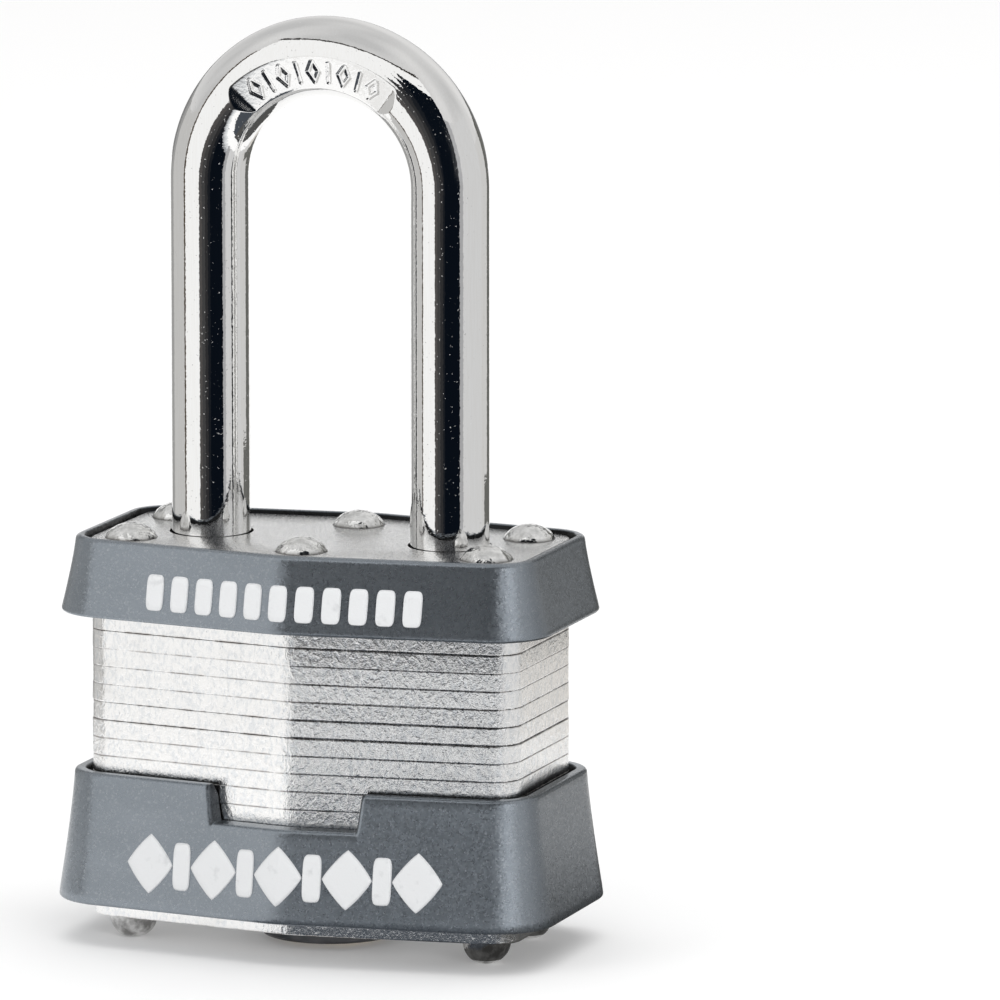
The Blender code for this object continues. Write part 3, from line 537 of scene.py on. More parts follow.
def make_plate(number):
    """One stamped plate: a rounded, slightly uneven rim, and the openings of its CAD node."""
    node = f"lamination_{number:02d}"
    low, high = box_mm(node)
    inset = high.x - BODY_HALF_WIDTH
    shift = random.uniform(*PLATE_SHIFT)
    lean = random.uniform(*PLATE_LEAN)
    seam_below, seam_above = SEAM_GAPS[number - 1], SEAM_GAPS[number]
    bottom = low.z - (CAD_SEAM_GAP - seam_below) / 2
    top = high.z + (CAD_SEAM_GAP - seam_above) / 2
    top_round, bottom_round = 0.018 + 0.5 * seam_above, 0.014 + 0.4 * seam_below
    section = [
        (-bottom_round * 1.6, bottom),
        (-bottom_round * 0.4, bottom + bottom_round * 0.35),
        (0.0, bottom + bottom_round * 1.3),
        (0.0, bottom + bottom_round * 1.3 + 0.1),
        (0.0, (bottom + top) / 2),
        (0.0, top - top_round * 1.2 - 0.1),
        (0.0, top - top_round * 1.2),
        (-top_round * 0.25, top - top_round * 0.35),
        (-top_round, top),
    ]
    edge_rows = (1.0, 1.0, 0.6, 0.0, 0.0, 0.0, 0.4, 1.0, 0.0)
    bm = bmesh.new()
    rows = []
    for (offset, z), edge in zip(section, edge_rows):
        row = []
        for i in range(len(OUTLINE)):
            place = at(i, inset, z)
            sample = Vector((place.x * 0.8, place.y * 0.8, number * 7.0))
            wave = BROAD_WAVE * noise.noise(sample) + FINE_WAVE * noise.noise(sample * 4.0)
            leaning = lean * ((z - bottom) / (top - bottom) - 0.5)
            place = at(i, inset + shift + offset + leaning + wave, z + 0.5 * edge * wave)
            row.append(bm.verts.new(place))
        rows.append(row)
    for row, z in ((rows[0], bottom), (rows[-1], top)):
        for vert in row:
            vert.co.z = z
    grid_faces(bm, rows)
    holes = hole_loops(node)
    for row, z in ((rows[0], bottom), (rows[-1], top)):
        edges = [bm.edges.get((a, b)) for a, b in zip(row, row[1:] + row[:1])]
        for loop in holes:
            ring = [bm.verts.new((x, y, z)) for x, y in loop]
            edges += [bm.edges.new((a, b)) for a, b in zip(ring, ring[1:] + ring[:1])]
        bmesh.ops.triangle_fill(bm, use_beauty=True, use_dissolve=False, edges=edges)
    bm.verts.ensure_lookup_table()
    start = len(section) * len(OUTLINE)
    per_side = sum(len(loop) for loop in holes)
    for loop in holes:
        lower = [bm.verts[start + i] for i in range(len(loop))]
        upper = [bm.verts[start + per_side + i] for i in range(len(loop))]
        grid_faces(bm, [lower, upper])
        start += len(loop)
    values = [edge for edge in edge_rows for _ in OUTLINE] + [0.0] * (2 * per_side)
    item = add_piece(f"plate_{number:02d}", bm, [ZINC], "body", [node])
    write_values(item, "edge", values)


# ---------------------------------------------------------------- bumpers

# Gap between a band and the plates, how hollow its outer face is, and that face's steps in height
BAND_INNER_GAP = 0.12
FLARE_POWER = 1.25
OUTER_STEPS = 18
# A band's "edge" attribute, painted shade that darkens it: the rows in the gap along its top edge,
# the rows at the sides of the notch, and how much its two ends are shaded
SHADED_GAP_ROWS = 3
SIDE_ROWS, NOTCH_SIDE_SHADE = 7, 0.7
END_SHADE = 0.36
# How far the raised marks stand out of a band, and how far they reach into it
MARK_HEIGHT, MARK_ROOT = 0.22, -0.12
# The rows of marks: count, where the first stands, pitch, and height above the band's bottom edge
UPPER_BARS = (11, -12.1, 2.4, 2.7)
LOWER_LOZENGES = (5, -12.6, 6.25, 4.2)
LOWER_BARS = (4, -9.475, 6.25, 4.2)


class Band:
    """A bumper: sizes of its section, and how its top edge dips at the notch."""

    def __init__(self, node, bottom_offset, top_offset, lip, rim_drop, notch=None):
        low, high = box_mm(node)
        self.bottom, self.top = low.z, high.z
        self.bottom_offset, self.top_offset = bottom_offset, top_offset
        self.lip = lip
        self.rim_drop = rim_drop
        self.notch = notch

    def flare(self, z):
        """How far the outer face stands off the plates at height z: upright lip, hollow curve."""
        start = self.bottom + self.lip
        share = min(1.0, max(0.0, (z - start) / (self.top - start)))
        curve = (1 - share) ** FLARE_POWER
        return self.top_offset + (self.bottom_offset - self.top_offset) * curve

    def top_at(self, i, grown):
        """Height of the top edge, with the notch grown by that much on all sides."""
        x, y = OUTLINE[i][:2]
        if not self.notch or y > 0:
            return self.top - grown
        half_top, half_bottom, floor = self.notch
        middle = (half_top + half_bottom) / 2 + grown
        slope = (half_top - half_bottom) / 2
        share = ease(abs(x), middle - slope, middle + slope)
        return floor + (self.top - floor) * share - grown

    def section(self, i):
        """The closed section at outline point i, as (offset, z)."""
        bottom = self.bottom
        low_offset = self.flare(bottom)
        points = [(BAND_INNER_GAP, bottom), (low_offset - 0.3, bottom)]
        points += [(low_offset - 0.12, bottom + 0.04), (low_offset - 0.03, bottom + 0.13)]
        edge = self.top_at(i, 0.38)
        start = bottom + 0.27
        for step in range(OUTER_STEPS + 1):
            z = start + (edge - start) * step / OUTER_STEPS
            points.append((self.flare(z), z))
        for grown, inwards in ((0.22, 0.03), (0.1, 0.12), (0.02, 0.26), (0.0, 0.4)):
            z = self.top_at(i, grown)
            points.append((self.flare(z) - inwards, z))
        rim = self.top_at(i, 0.0)
        at_rim = ease(rim, self.top - 1.0, self.top)
        inner = BAND_INNER_GAP + 0.48 * at_rim
        points += [(inner + 0.1, rim), (inner, rim - 0.12), (inner, rim - self.rim_drop)]
        points.append((BAND_INNER_GAP, rim - self.rim_drop - 0.3))
        return points

    def mesh(self):
        bm = bmesh.new()
        sections = [self.section(i) for i in range(len(OUTLINE))]
        rows = []
        for place in range(len(sections[0])):
            row = []
            for i, points in enumerate(sections):
                offset, z = points[place]
                row.append(bm.verts.new(at(i, offset, z)))
            rows.append(row)
        grid_faces(bm, rows, close_along=True)
        return bm

    def add(self, name, node):
        """Makes the piece, with painted shade inside its top edge, at the notch's sides and at its
        ends.
        """
        item = add_piece(name, self.mesh(), [BUMPER], "body", [node])
        count = len(self.section(0))
        values = []
        for row in range(count):
            for i, (x, y, end_share, _) in enumerate(OUTLINE):
                # Painted shade: the rows in the gap under the top edge, the notch's sides and the
                # band's two ends
                painted_end_shade = END_SHADE * ease(abs(end_share), 0.8, 1.0)
                value = max(float(row >= count - SHADED_GAP_ROWS), painted_end_shade)
                if self.notch and y < 0 and self.notch[1] < abs(x) < self.notch[0] + 0.3:
                    value = max(value, NOTCH_SIDE_SHADE * (row >= count - SIDE_ROWS))
                values.append(value)
        write_values(item, "edge", values)


UPPER_BAND = Band("upper_bumper", 2.68, 1.38, 0.3, 1.5)
LOWER_BAND = Band("lower_bumper", 3.06, 1.6, 0.4, 1.4, notch=(7.0, 6.4, 12.0))


def on_band(band, x, z, out):
    """The point of a band's front face at (x, z), moved out of the face."""
    offset = band.flare(z) + out
    crease_y = CREASE_RADIUS * (1 / math.cos(LEAN) - 1) / 2
    soft = crease_y * (1 - ease(abs(x), 0.0, CREASE_RADIUS * math.sin(LEAN)))
    y = facet_half_depth(x) + offset / math.cos(LEAN) - soft
    return Vector((x, -y, z))


def add_mark(bm, band, outline, centre):
    """One raised mark: its outline's rings follow the band's face, closed underneath."""
    rings = ((1.06, MARK_ROOT), (1.03, 0.05), (0.99, MARK_HEIGHT - 0.05), (0.93, MARK_HEIGHT))
    rings += ((0.66, MARK_HEIGHT), (0.33, MARK_HEIGHT))
    rows = []
    for scale, out in rings:
        row = []
        for dx, dz in outline:
            place = on_band(band, centre[0] + dx * scale, centre[1] + dz * scale, out)
            row.append(bm.verts.new(place))
        rows.append(row)
    grid_faces(bm, rows)
    for row, out in ((rows[-1], MARK_HEIGHT), (rows[0], MARK_ROOT)):
        hub = bm.verts.new(on_band(band, centre[0], centre[1], out))
        for a, b in zip(row, row[1:] + row[:1]):
            bm.faces.new((a, b, hub))


def rounded_outline(half_width, half_height, power, steps=40):
    """A superellipse: power 2 is an ellipse, 1 a lozenge, and more is a rounded bar."""
    points = []
    for i in range(steps):
        angle = 2 * math.pi * i / steps
        c, s = math.cos(angle), math.sin(angle)
        dx = half_width * math.copysign(abs(c) ** (2 / power), c)
        dz = half_height * math.copysign(abs(s) ** (2 / power), s)
        points.append((dx, dz))
    return points


def add_marks(bm, band, outline, row):
    """A row of the same mark along a band's front."""
    count, first_x, pitch, height = row
    for i in range(count):
        add_mark(bm, band, outline, (first_x + pitch * i, band.bottom + height))


def make_bumpers():
    """Both bands, each with its row of plain raised shapes."""
    UPPER_BAND.add("bumper_upper", "upper_bumper")
    LOWER_BAND.add("bumper_lower", "lower_bumper")

    bm = bmesh.new()
    add_marks(bm, UPPER_BAND, rounded_outline(0.8, 1.5, 5.0), UPPER_BARS)
    add_piece("upper_band_marks", bm, [MARKS], "body")

    bm = bmesh.new()
    add_marks(bm, LOWER_BAND, rounded_outline(2.15, 2.5, 1.15), LOWER_LOZENGES)
    add_marks(bm, LOWER_BAND, rounded_outline(0.8, 2.0, 5.0), LOWER_BARS)
    add_piece("lower_band_marks", bm, [MARKS], "body")


# ---------------------------------------------------------------- rivets

# Points round a rivet, steps down its head and its foot, and how deep its dents are
RIVET_STEPS, HEAD_STEPS, FOOT_STEPS = 56, 14, 12
RIVET_DENT = 0.09
# The head: how much of a sphere it is, and how far it tops the CAD head
HEAD_HALF_ANGLE = 74
HEAD_PROUD = 0.2
HEAD_RADIUS, SHANK_RADIUS = 2.28, 1.25
# The foot: radius at its seat, bulge past its tip, radius of its tip, roundness of its side
FOOT_NECK_RADIUS, FOOT_BULGE, FOOT_TIP_RADIUS, FOOT_POWER = 1.95, 1.88, 0.3, 0.9
SEAT_GAP = 0.02
# The painted shade round a head's foot, where it sits on the plate: how far it reaches in height,
# and how dark it is
SEAT_SHADE_REACH, SEAT_SHADE_DARKNESS = 0.32, 0.9


def turned_rows(bm, profile, centre, seed):
    """Rows of a turned surface with shallow dents."""
    rows = []
    for radius, z in profile:
        row = []
        for i in range(RIVET_STEPS):
            angle = 2 * math.pi * i / RIVET_STEPS
            place = Vector((radius * math.cos(angle), radius * math.sin(angle), z))
            wave = RIVET_DENT * noise.noise(place * 0.9 + Vector((seed * 9.0, 0, 0)))
            out = Vector((place.x, place.y, 0)) * (wave / 2.2)
            row.append(bm.verts.new(place + out + Vector((centre[0], centre[1], 0))))
        rows.append(row)
    grid_faces(bm, rows)
    return rows


def close_row(bm, row, z):
    """Closes a ring of vertices with a fan round a point at height z."""
    hub = bm.verts.new((*(sum((v.co for v in row), Vector()) / len(row)).xy, z))
    for a, b in zip(row, row[1:] + row[:1]):
        bm.faces.new((a, b, hub))


def head_profile(seat, height):
    """A set rivet head, top down: a spherical cap with a thin flash at its foot."""
    widest = math.radians(HEAD_HALF_ANGLE)
    points = []
    for i in range(1, HEAD_STEPS + 1):
        angle = widest * i / HEAD_STEPS
        share = (1 - math.cos(angle)) / (1 - math.cos(widest))
        reach = HEAD_RADIUS * math.sin(angle) / math.sin(widest)
        points.append((reach, seat + 0.04 + (height - 0.04) * (1 - share)))
    points += [(HEAD_RADIUS + 0.06, seat + 0.03), (HEAD_RADIUS + 0.08, seat)]
    return points


def foot_profile(seat):
    """A rivet's formed end, from its seat down to the surface that the lock stands on."""
    points = [(FOOT_NECK_RADIUS, seat)]
    for i in range(FOOT_STEPS + 1):
        angle = math.radians(90 * i / FOOT_STEPS)
        radius = FOOT_TIP_RADIUS + FOOT_BULGE * math.cos(angle) ** FOOT_POWER
        points.append((radius, seat * (1 - math.sin(angle))))
    return points


def make_rivet(node, seed):
    """A rivet's head and shank and, where the rivet goes right through, its foot."""
    low, high = box_mm(node)
    centre = ((low.x + high.x) / 2, (low.y + high.y) / 2)
    bm = bmesh.new()
    seat, foot_seat = STACK_TOP + SEAT_GAP, STACK_BOTTOM - SEAT_GAP
    head_top = high.z + HEAD_PROUD
    profile = head_profile(seat, head_top - seat) + [(SHANK_RADIUS, seat)]
    if low.z < foot_seat:
        profile += [(SHANK_RADIUS, foot_seat)] + foot_profile(foot_seat)
    else:
        profile.append((SHANK_RADIUS, low.z))
    rows = turned_rows(bm, profile, centre, seed)
    for row in rows:
        for vert in row:
            vert.co.z = max(0.0, vert.co.z)
    close_row(bm, rows[0], head_top)
    close_row(bm, rows[-1], rows[-1][0].co.z)
    item = add_piece(f"{node}_formed", bm, [RIVET, FOOT], "body", [node])
    # Painted shade on the rows at the head's seat on the plate, fading away from it
    seat_shade = []
    for _, z in profile:
        darkness = SEAT_SHADE_DARKNESS * (1 - ease(abs(z - seat), 0.0, SEAT_SHADE_REACH))
        seat_shade += [darkness] * RIVET_STEPS
    write_values(item, "edge", seat_shade + [0.0, 0.0])
    for polygon in item.data.polygons:
        if polygon.center.z < STACK_BOTTOM * MM:
            polygon.material_index = 1


# ---------------------------------------------------------------- shackle

# The flat pressed into the crown: where it runs from and to in degrees round the crown, how it
# starts and stops, how deep it is, how far it faces down from the front, and how much it flattens
STAMP_FROM, STAMP_TO = 52.0, 124.0
STAMP_RAMP_NEAR, STAMP_RAMP_FAR = 4, 11
STAMP_DEPTH = 0.4
STAMP_TILT = 19.0
STAMP_FLATTENING = 0.96
# The marks struck into it: lozenges and uprights, one for each pitch in degrees
STAMP_PITCH = 8.0
LOZENGE = ((0, 0.98), (0.5, 0), (0, -0.98), (-0.5, 0), (0, 0.98))
UPRIGHT = ((0, 0.92), (0, -0.92))
STROKE_DEPTH, STROKE_WIDTH, STROKE_SLOPE = 0.13, 0.13, 0.09
MARKS_HALF_WIDTH = 1.4
# Angles of the points round the bar: each degree at the flat, and wider steps elsewhere
STAMP_HALF_ANGLE = 32
FAR_STEP = 6
FIELD_MIDDLE = 270 - STAMP_TILT
FAR_COUNT = (360 - 2 * STAMP_HALF_ANGLE) // FAR_STEP + 1
FIELD_TURNS = [FIELD_MIDDLE + i for i in range(-STAMP_HALF_ANGLE, STAMP_HALF_ANGLE)]
FAR_TURNS = [FIELD_MIDDLE + STAMP_HALF_ANGLE + FAR_STEP * i for i in range(FAR_COUNT)]
TURNS = [math.radians(turn) for turn in FIELD_TURNS + FAR_TURNS]
# Steps along the crown in degrees, where the flat is and elsewhere, and along the legs
FINE_STEP, COARSE_STEP = 0.5, 1.0
FINE_REACH = 12
LEG_STEP = 1.5
# The legs' ends and the cuts in them
TOE_BOTTOM = 25.4
NECK_LOW, NECK_HIGH, NECK_RADIUS = HEEL_BOTTOM + 1.7, HEEL_BOTTOM + 3.5, 2.5
HEEL_FLAT_TOP, HEEL_FLAT_REACH = 28.6, 2.5
lever_low, lever_high = box_mm("locking_lever_heel")
NOTCH_TOP, NOTCH_FLOOR = lever_high.z + 0.15, lever_low.z - 0.1
NOTCH_DEPTH, NOTCH_RAMP, NOTCH_STEPS = 1.4, 3.3, 6
CHAMFER, CHAMFER_HEIGHT = 0.55, 0.6


def leg_heights(bottom):
    """Heights of the rows along a leg: close together at the machined steps."""
    steps = [NECK_LOW, NECK_HIGH, HEEL_FLAT_TOP, NOTCH_TOP, NOTCH_FLOOR]
    rows = [bottom, bottom + 0.1, bottom + 0.35, bottom + 0.6]
    for height in steps:
        rows += [height - 0.12, height - 0.01, height + 0.01, height + 0.12]
    rows += [NOTCH_FLOOR - NOTCH_RAMP * i / NOTCH_STEPS for i in range(1, NOTCH_STEPS + 1)]
    leg_steps = int((CROWN_CENTRE_Z - bottom) / LEG_STEP)
    rows += [bottom + LEG_STEP * i for i in range(1, leg_steps)]
    return sorted({round(z, 3) for z in rows if bottom <= z < CROWN_CENTRE_Z - 0.5})


def leg_section(z, bottom, is_heel):
    """(x outwards from the loop, y) round the leg at height z, after all its cuts."""
    chamfer = CHAMFER * (1 - ease(z, bottom - 0.01, bottom + CHAMFER_HEIGHT))
    points = []
    for angle in TURNS:
        radius = SHACKLE_RADIUS - chamfer
        if is_heel and NECK_LOW < z < NECK_HIGH:
            radius = NECK_RADIUS
        outwards, y = radius * math.cos(angle), radius * math.sin(angle)
        if is_heel and NECK_HIGH < z < HEEL_FLAT_TOP:
            outwards = min(outwards, HEEL_FLAT_REACH)
        if NOTCH_FLOOR - NOTCH_RAMP < z < NOTCH_TOP:
            share = min(1.0, (z - NOTCH_FLOOR + NOTCH_RAMP) / NOTCH_RAMP)
            outwards = max(outwards, -(SHACKLE_RADIUS - NOTCH_DEPTH * share))
        points.append((outwards, y))
    return points


def stroke_distance(point, line):
    """How far a point lies from a line through several points."""
    nearest = math.inf
    for start, end in zip(line, line[1:]):
        along = Vector(end) - Vector(start)
        share = (point - Vector(start)).dot(along) / along.length_squared
        foot = Vector(start) + along * min(1.0, max(0.0, share))
        nearest = min(nearest, (point - foot).length)
    return nearest


def stamp_marks(angle, across):
    """Depth share of the generic marks struck into the crown: lozenges and uprights in turn."""
    place = (angle - STAMP_FROM) / STAMP_PITCH
    number = math.floor(place)
    along = (place - number - 0.5) * math.radians(STAMP_PITCH) * (LEG_X - 0.8)
    distance = stroke_distance(Vector((along, across)), UPRIGHT if number % 2 else LOZENGE)
    return 1 - ease(distance, STROKE_WIDTH - STROKE_SLOPE / 2, STROKE_WIDTH + STROKE_SLOPE)


def crown_row(bm, angle, stamps):
    """The bar's section at an angle round the crown, 0 at the left leg, 180 at the right.

    Its points' shares of the flat are added to stamps.
    """
    outward = Vector((-math.cos(math.radians(angle)), 0, math.sin(math.radians(angle))))
    centre = Vector((0, 0, CROWN_CENTRE_Z)) + outward * LEG_X
    strength = ease(angle, STAMP_FROM - STAMP_RAMP_FAR, STAMP_FROM - STAMP_RAMP_NEAR)
    strength *= 1 - ease(angle, STAMP_TO + STAMP_RAMP_NEAR, STAMP_TO + STAMP_RAMP_FAR)
    tilt = math.radians(STAMP_TILT)
    facing = Vector((0, -math.cos(tilt), 0)) - outward * math.sin(tilt)
    aside = Vector((0, -math.sin(tilt), 0)) + outward * math.cos(tilt)
    reach = SHACKLE_RADIUS - STAMP_DEPTH * strength
    has_marks = STAMP_FROM <= angle < STAMP_TO
    row = []
    for turn in TURNS:
        place = outward * (SHACKLE_RADIUS * math.cos(turn))
        place += Vector((0, SHACKLE_RADIUS * math.sin(turn), 0))
        height = place.dot(facing)
        across = place.dot(aside)
        stamp = 0.0
        if height > reach:
            place -= facing * (STAMP_FLATTENING * (height - reach))
            stamp = strength * ease(height - reach, 0.0, 0.1)
        if has_marks and abs(across) < MARKS_HALF_WIDTH and height > 0:
            place -= facing * (STROKE_DEPTH * stamp_marks(angle, across))
        row.append(bm.verts.new(centre + place))
        stamps.append(stamp)
    return row


def make_shackle():
    """The bar in one piece: up the heel leg, round the crown and down the toe leg."""
    bm = bmesh.new()
    stamps = []
    rows = []
    for z in leg_heights(HEEL_BOTTOM):
        section = leg_section(z, HEEL_BOTTOM, True)
        rows.append([bm.verts.new((-LEG_X - out, y, z)) for out, y in section])
        stamps += [0.0] * len(TURNS)
    angle = 0.0
    while angle <= 180.0:
        rows.append(crown_row(bm, angle, stamps))
        inside = STAMP_FROM - FINE_REACH < angle < STAMP_TO + FINE_REACH
        angle = round(angle + (FINE_STEP if inside else COARSE_STEP), 3)
    for z in reversed(leg_heights(TOE_BOTTOM)):
        section = leg_section(z, TOE_BOTTOM, False)
        rows.append([bm.verts.new((LEG_X + out, y, z)) for out, y in section])
        stamps += [0.0] * len(TURNS)
    grid_faces(bm, rows)
    close_row(bm, rows[0], HEEL_BOTTOM)
    close_row(bm, rows[-1], TOE_BOTTOM)
    stamps += [0.0, 0.0]
    item = add_piece("shackle_bar", bm, [CHROME], "shackle", ["shackle"], 50.0)
    write_values(item, "stamp", stamps)


# ---------------------------------------------------------------- pieces kept from the frame

# Faces that meet at less than the first are one face, edges sharper than the second are broken
FLAT_ANGLE, SHARP_ANGLE = math.radians(1.0), math.radians(50)


def finish_node(node, body, material, bevel=0.0):
    """A smooth-shaded copy of a CAD node, with its sharp edges broken."""
    bm = bmesh.new()
    bm.from_mesh(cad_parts[node].data)
    bmesh.ops.remove_doubles(bm, verts=bm.verts, dist=WELD_DISTANCE * MM)
    bmesh.ops.dissolve_limit(bm, angle_limit=FLAT_ANGLE, verts=bm.verts, edges=bm.edges)
    bmesh.ops.scale(bm, verts=bm.verts, vec=(1 / MM,) * 3)
    item = add_piece(f"{node}_finished", bm, [material], body, [node])
    if bevel:
        modifier = item.modifiers.new("broken_edges", "BEVEL")
        modifier.width = bevel * MM
        modifier.segments = 2
        modifier.limit_method = "ANGLE"
        modifier.angle_limit = SHARP_ANGLE
    return item


def finish_springs():
    """The springs: the lever springs on the body, and the shackle spring on no body, its transform
    baked.
    """
    for side, direction in (("heel", 1), ("toe", -1)):
        spring = finish_node(f"lever_spring_{side}", "body", SPRING)
        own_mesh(spring)
    spring = finish_node("shackle_spring", None, SPRING)
    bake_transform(spring)


def finish_inside():
    """The lock's works, which a closed body hides."""
    finish_node("cylinder_housing", "body", CYLINDER, 0.08)
    finish_node("spring_cover_strip", "body", BRASS, 0.05)
    finish_node("plug", "plug", BRASS, 0.08)
    finish_node("cam", "plug", BRASS, 0.08)
    finish_node("plug_retainer_clip", "plug", SPRING, 0.05)
    finish_node("locking_lever_heel", "heel_lever", ZINC, 0.1)
    finish_node("locking_lever_toe", "toe_lever", ZINC, 0.1)
    finish_springs()
    for i in range(1, 5):
        finish_node(f"key_pin_{i}", "plug", BRASS, 0.12)
        finish_node(f"driver_pin_{i}", "body", BRASS, 0.12)
        finish_node(f"pin_spring_{i}", "body", SPRING)


# ---------------------------------------------------------------- studio

VIEW_AZIMUTH, VIEW_ELEVATION = math.radians(19.83), math.radians(9.81)
VIEW_DISTANCE = 933.6
VIEW_FOCAL, SENSOR_WIDTH = 382.6, 36.0
AIM_HEIGHT, AIM_RIGHT, AIM_UP = 42.3, 14.92, -3.07

RIGHT = Vector((math.cos(VIEW_AZIMUTH), math.sin(VIEW_AZIMUTH), 0))
TO_CAMERA_FLAT = Vector((math.sin(VIEW_AZIMUTH), -math.cos(VIEW_AZIMUTH), 0))
TO_CAMERA = TO_CAMERA_FLAT * math.cos(VIEW_ELEVATION) + Vector((0, 0, math.sin(VIEW_ELEVATION)))
UP = TO_CAMERA.cross(RIGHT)


def round_the_lock(angle):
    """The level direction at an angle in degrees from the camera's side, to the right."""
    angle = math.radians(angle)
    return TO_CAMERA_FLAT * math.cos(angle) + RIGHT * math.sin(angle)


def make_camera():
    data = bpy.data.cameras.new("view")
    data.lens = VIEW_FOCAL
    data.sensor_width = SENSOR_WIDTH
    data.clip_end = 20.0
    camera = bpy.data.objects.new("view", data)
    aim = Vector((0, 0, AIM_HEIGHT)) + RIGHT * AIM_RIGHT + UP * AIM_UP
    turn = Matrix((RIGHT, UP, TO_CAMERA)).transposed().to_4x4()
    camera.matrix_world = Matrix.Translation((aim + TO_CAMERA * VIEW_DISTANCE) * MM) @ turn
    bpy.context.scene.collection.objects.link(camera)
    bpy.context.scene.camera = camera


def stage_object(name, bm, material):
    """A part of the studio, which is no part of the lock."""
    mesh = bpy.data.meshes.new(name)
    bm.to_mesh(mesh)
    bm.free()
    mesh.materials.append(material)
    item = bpy.data.objects.new(name, mesh)
    bpy.context.scene.collection.objects.link(item)
    return item


FLOOR_HALF_SIZE = 8.0


def make_floor():
    material = bpy.data.materials.new("pale_floor")
    material.use_nodes = True
    shader = material.node_tree.nodes["Principled BSDF"]
    for name, value in (
        ("Base Color", (0.78, 0.78, 0.78, 1)),
        ("Roughness", 0.8),
        ("Specular IOR Level", 0.1),
        ("Emission Color", (1, 1, 1, 1)),
        ("Emission Strength", 0.16),
    ):
        shader.inputs[name].default_value = value
    bm = bmesh.new()
    bmesh.ops.create_grid(bm, x_segments=1, y_segments=1, size=FLOOR_HALF_SIZE)
    stage_object("floor", bm, material)


def glowing(name, colour):
    """An evenly glowing material."""
    material = bpy.data.materials.new(name)
    material.use_nodes = True
    tree = material.node_tree
    tree.nodes.clear()
    glow = tree.nodes.new("ShaderNodeEmission")
    glow.inputs["Color"].default_value = (*colour, 1)
    out = tree.nodes.new("ShaderNodeOutputMaterial")
    tree.links.new(glow.outputs["Emission"], out.inputs["Surface"])
    return material


def make_card(name, start, end, edges, colour):
    """A studio card between two arcs round the lock, seen only in reflections.

    Each edge is (radius, height). Angles are as in round_the_lock.
    """
    bm = bmesh.new()
    steps = max(2, round((end - start) / CARD_STEP))
    rows = []
    for radius, height in edges:
        row = []
        for i in range(steps + 1):
            place = round_the_lock(start + (end - start) * i / steps) * radius
            row.append(bm.verts.new((place + Vector((0, 0, height))) * MM))
        rows.append(row)
    grid_faces(bm, rows, close_across=False)
    card = stage_object(name, bm, glowing(name, colour))
    card.visible_camera = False
    card.visible_diffuse = False
    card.visible_shadow = False
    card.visible_transmission = False


CARD_STEP = 4
CARD_RADIUS = 100.0
# Upright cards: name, start and end angle, lowest and highest edge, colour
CARDS = (
    ("edge_left", -150, -128, 0.5, 90, (0.36, 0.36, 0.355)),
    ("grey_left", -128, -83, 0.5, 90, (0.58, 0.575, 0.565)),
    ("line_left", -83, -79, 0.5, 150, (0.09, 0.07, 0.055)),
    ("white_left_low", -79, -37, 0.5, 13, (0.91, 0.905, 0.895)),
    ("white_left", -79, -37, 13, 185, (1.0, 1.0, 0.995)),
    ("line_top", -84, 33, 185, 198, (0.03, 0.026, 0.022)),
    ("low_front", -37, 33, 0.5, 6, (0.84, 0.86, 0.875)),
    ("low_front_2", -37, 33, 6, 11, (0.68, 0.695, 0.71)),
    ("low_front_3", -37, 33, 11, 15, (0.37, 0.38, 0.4)),
    ("dark_1", -37, -29, 15, 72, (0.085, 0.08, 0.078)),
    ("white_1", -37, -29, 72, 185, (1.0, 1.0, 0.995)),
    ("dark_2", -29, -20, 15, 90, (0.058, 0.057, 0.058)),
    ("white_2", -29, -20, 90, 185, (1.0, 1.0, 0.995)),
    ("dark_3", -20, -12, 15, 108, (0.03, 0.03, 0.032)),
    ("white_3", -20, -12, 108, 185, (1.0, 1.0, 0.995)),
    ("dark_4", -12, -5, 15, 126, (0.012, 0.014, 0.018)),
    ("white_4", -12, -5, 126, 185, (1.0, 1.0, 0.995)),
    ("black", -5, 33, 15, 146, (0.003, 0.005, 0.009)),
    ("white_5", -5, 33, 146, 185, (1.0, 1.0, 0.995)),
    ("grey_right", 33, 42, 0.5, 118, (0.42, 0.42, 0.43)),
    ("pale_right", 42, 100, 0.5, 118, (0.68, 0.68, 0.68)),
    ("side_right", 100, 128, 0.5, 90, (0.66, 0.655, 0.645)),
    ("end_low", 128, 152, 0.5, 13, (0.74, 0.71, 0.67)),
    ("end_high", 128, 152, 13, 90, (0.14, 0.14, 0.13)),
    ("low_right", 112, 128, 14, 27, (0.15, 0.15, 0.14)),
    ("white_back", 152, 208, 36, 60, (1.12, 1.12, 1.12)),
    ("dark_back", 140, 220, 60, 84, (0.2, 0.2, 0.2)),
)
CARDS_IN_FRONT = ("low_right",)
IN_FRONT_RADIUS = 97.0

# Cards lying on the floor: name, start and end angle, colour. They are dark, seen only in
# reflections, and stand in for the floor's shade round the lock
FLOOR_CARDS = (
    ("floor_front", -37, 40, (0.07, 0.08, 0.095)),
    ("floor_right", 40, 152, (0.09, 0.09, 0.088)),
)
FLOOR_CARD_REACH = (14.0, 74.0)
FLOOR_CARD_HEIGHT = 0.4


def make_cards():
    for name, start, end, low, high, colour in CARDS:
        radius = IN_FRONT_RADIUS if name in CARDS_IN_FRONT else CARD_RADIUS
        make_card(f"card_{name}", start, end, ((radius, low), (radius, high)), colour)
    for name, start, end, colour in FLOOR_CARDS:
        edges = [(radius, FLOOR_CARD_HEIGHT) for radius in FLOOR_CARD_REACH]
        make_card(f"card_{name}", start, end, edges, colour)


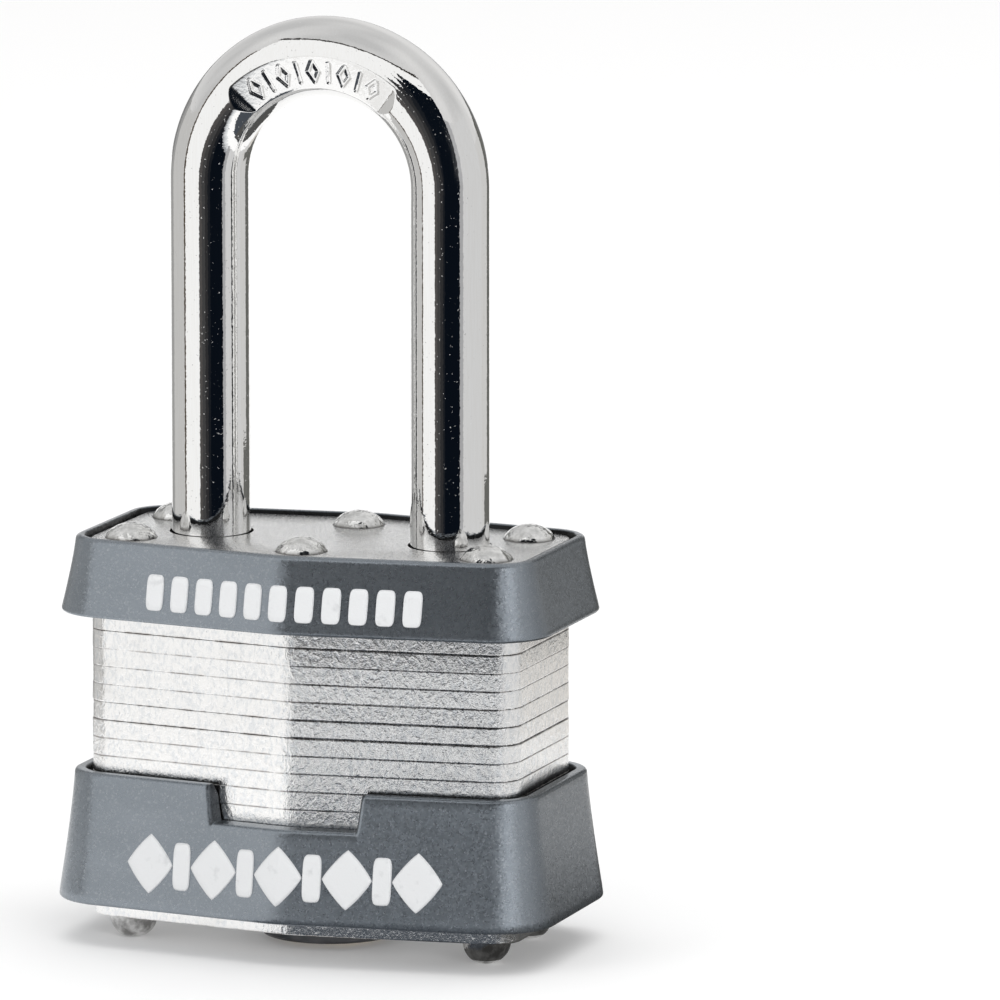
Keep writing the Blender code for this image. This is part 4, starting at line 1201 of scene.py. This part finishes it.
def add_area(name, place, size, power, glossy):
    """An area light at a place in metres, aimed at the middle of the lock."""
    data = bpy.data.lights.new(name, "AREA")
    data.size = size
    data.energy = power
    light = bpy.data.objects.new(name, data)
    light.location = place
    aim = Vector((0, 0, LIGHT_AIM_HEIGHT)) - Vector(place)
    light.rotation_euler = aim.to_track_quat("-Z", "Y").to_euler()
    light.visible_glossy = glossy
    bpy.context.scene.collection.objects.link(light)


LIGHT_AIM_HEIGHT = 0.04
# The light that shows on the lock's front right corner, a metre away
CORNER_AZIMUTH, CORNER_ELEVATION = 30, math.radians(13)


def make_lights():
    add_area("overhead", (0.1, 0.1, 1.3), 1.4, 10.0, False)
    add_area("left_front", (-0.6, -0.7, 0.5), 0.5, 1.6, False)
    corner = round_the_lock(CORNER_AZIMUTH) * math.cos(CORNER_ELEVATION)
    corner.z = math.sin(CORNER_ELEVATION)
    add_area("corner_glow", corner, 0.35, 2.6, True)


def make_world():
    """A grey surround, a little uneven."""
    world = bpy.data.worlds.new("studio")
    world.use_nodes = True
    tree = world.node_tree
    uneven = tree.nodes.new("ShaderNodeTexNoise")
    uneven.inputs["Scale"].default_value = 1.3
    uneven.inputs["Detail"].default_value = 1.0
    tones = tree.nodes.new("ShaderNodeValToRGB")
    stops = ((0.3, (0.58, 0.58, 0.58, 1)), (0.7, (0.82, 0.815, 0.81, 1)))
    for element, (position, colour) in zip(tones.color_ramp.elements, stops):
        element.position = position
        element.color = colour
    spread = tree.nodes.new("ShaderNodeTexCoord")
    tree.links.new(spread.outputs["Generated"], uneven.inputs["Vector"])
    tree.links.new(uneven.outputs["Fac"], tones.inputs["Fac"])
    tree.links.new(tones.outputs["Color"], tree.nodes["Background"].inputs["Color"])
    bpy.context.scene.world = world
    bpy.context.scene.view_settings.view_transform = "Standard"


# ---------------------------------------------------------------- all of it

make_camera()
for number in range(1, PLATE_COUNT + 1):
    make_plate(number)
make_bumpers()
rivet_nodes = sorted(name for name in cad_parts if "rivet" in name)
for seed, name in enumerate(rivet_nodes):
    make_rivet(name, seed)
make_shackle()
finish_inside()
make_floor()
make_cards()
make_lights()
make_world()
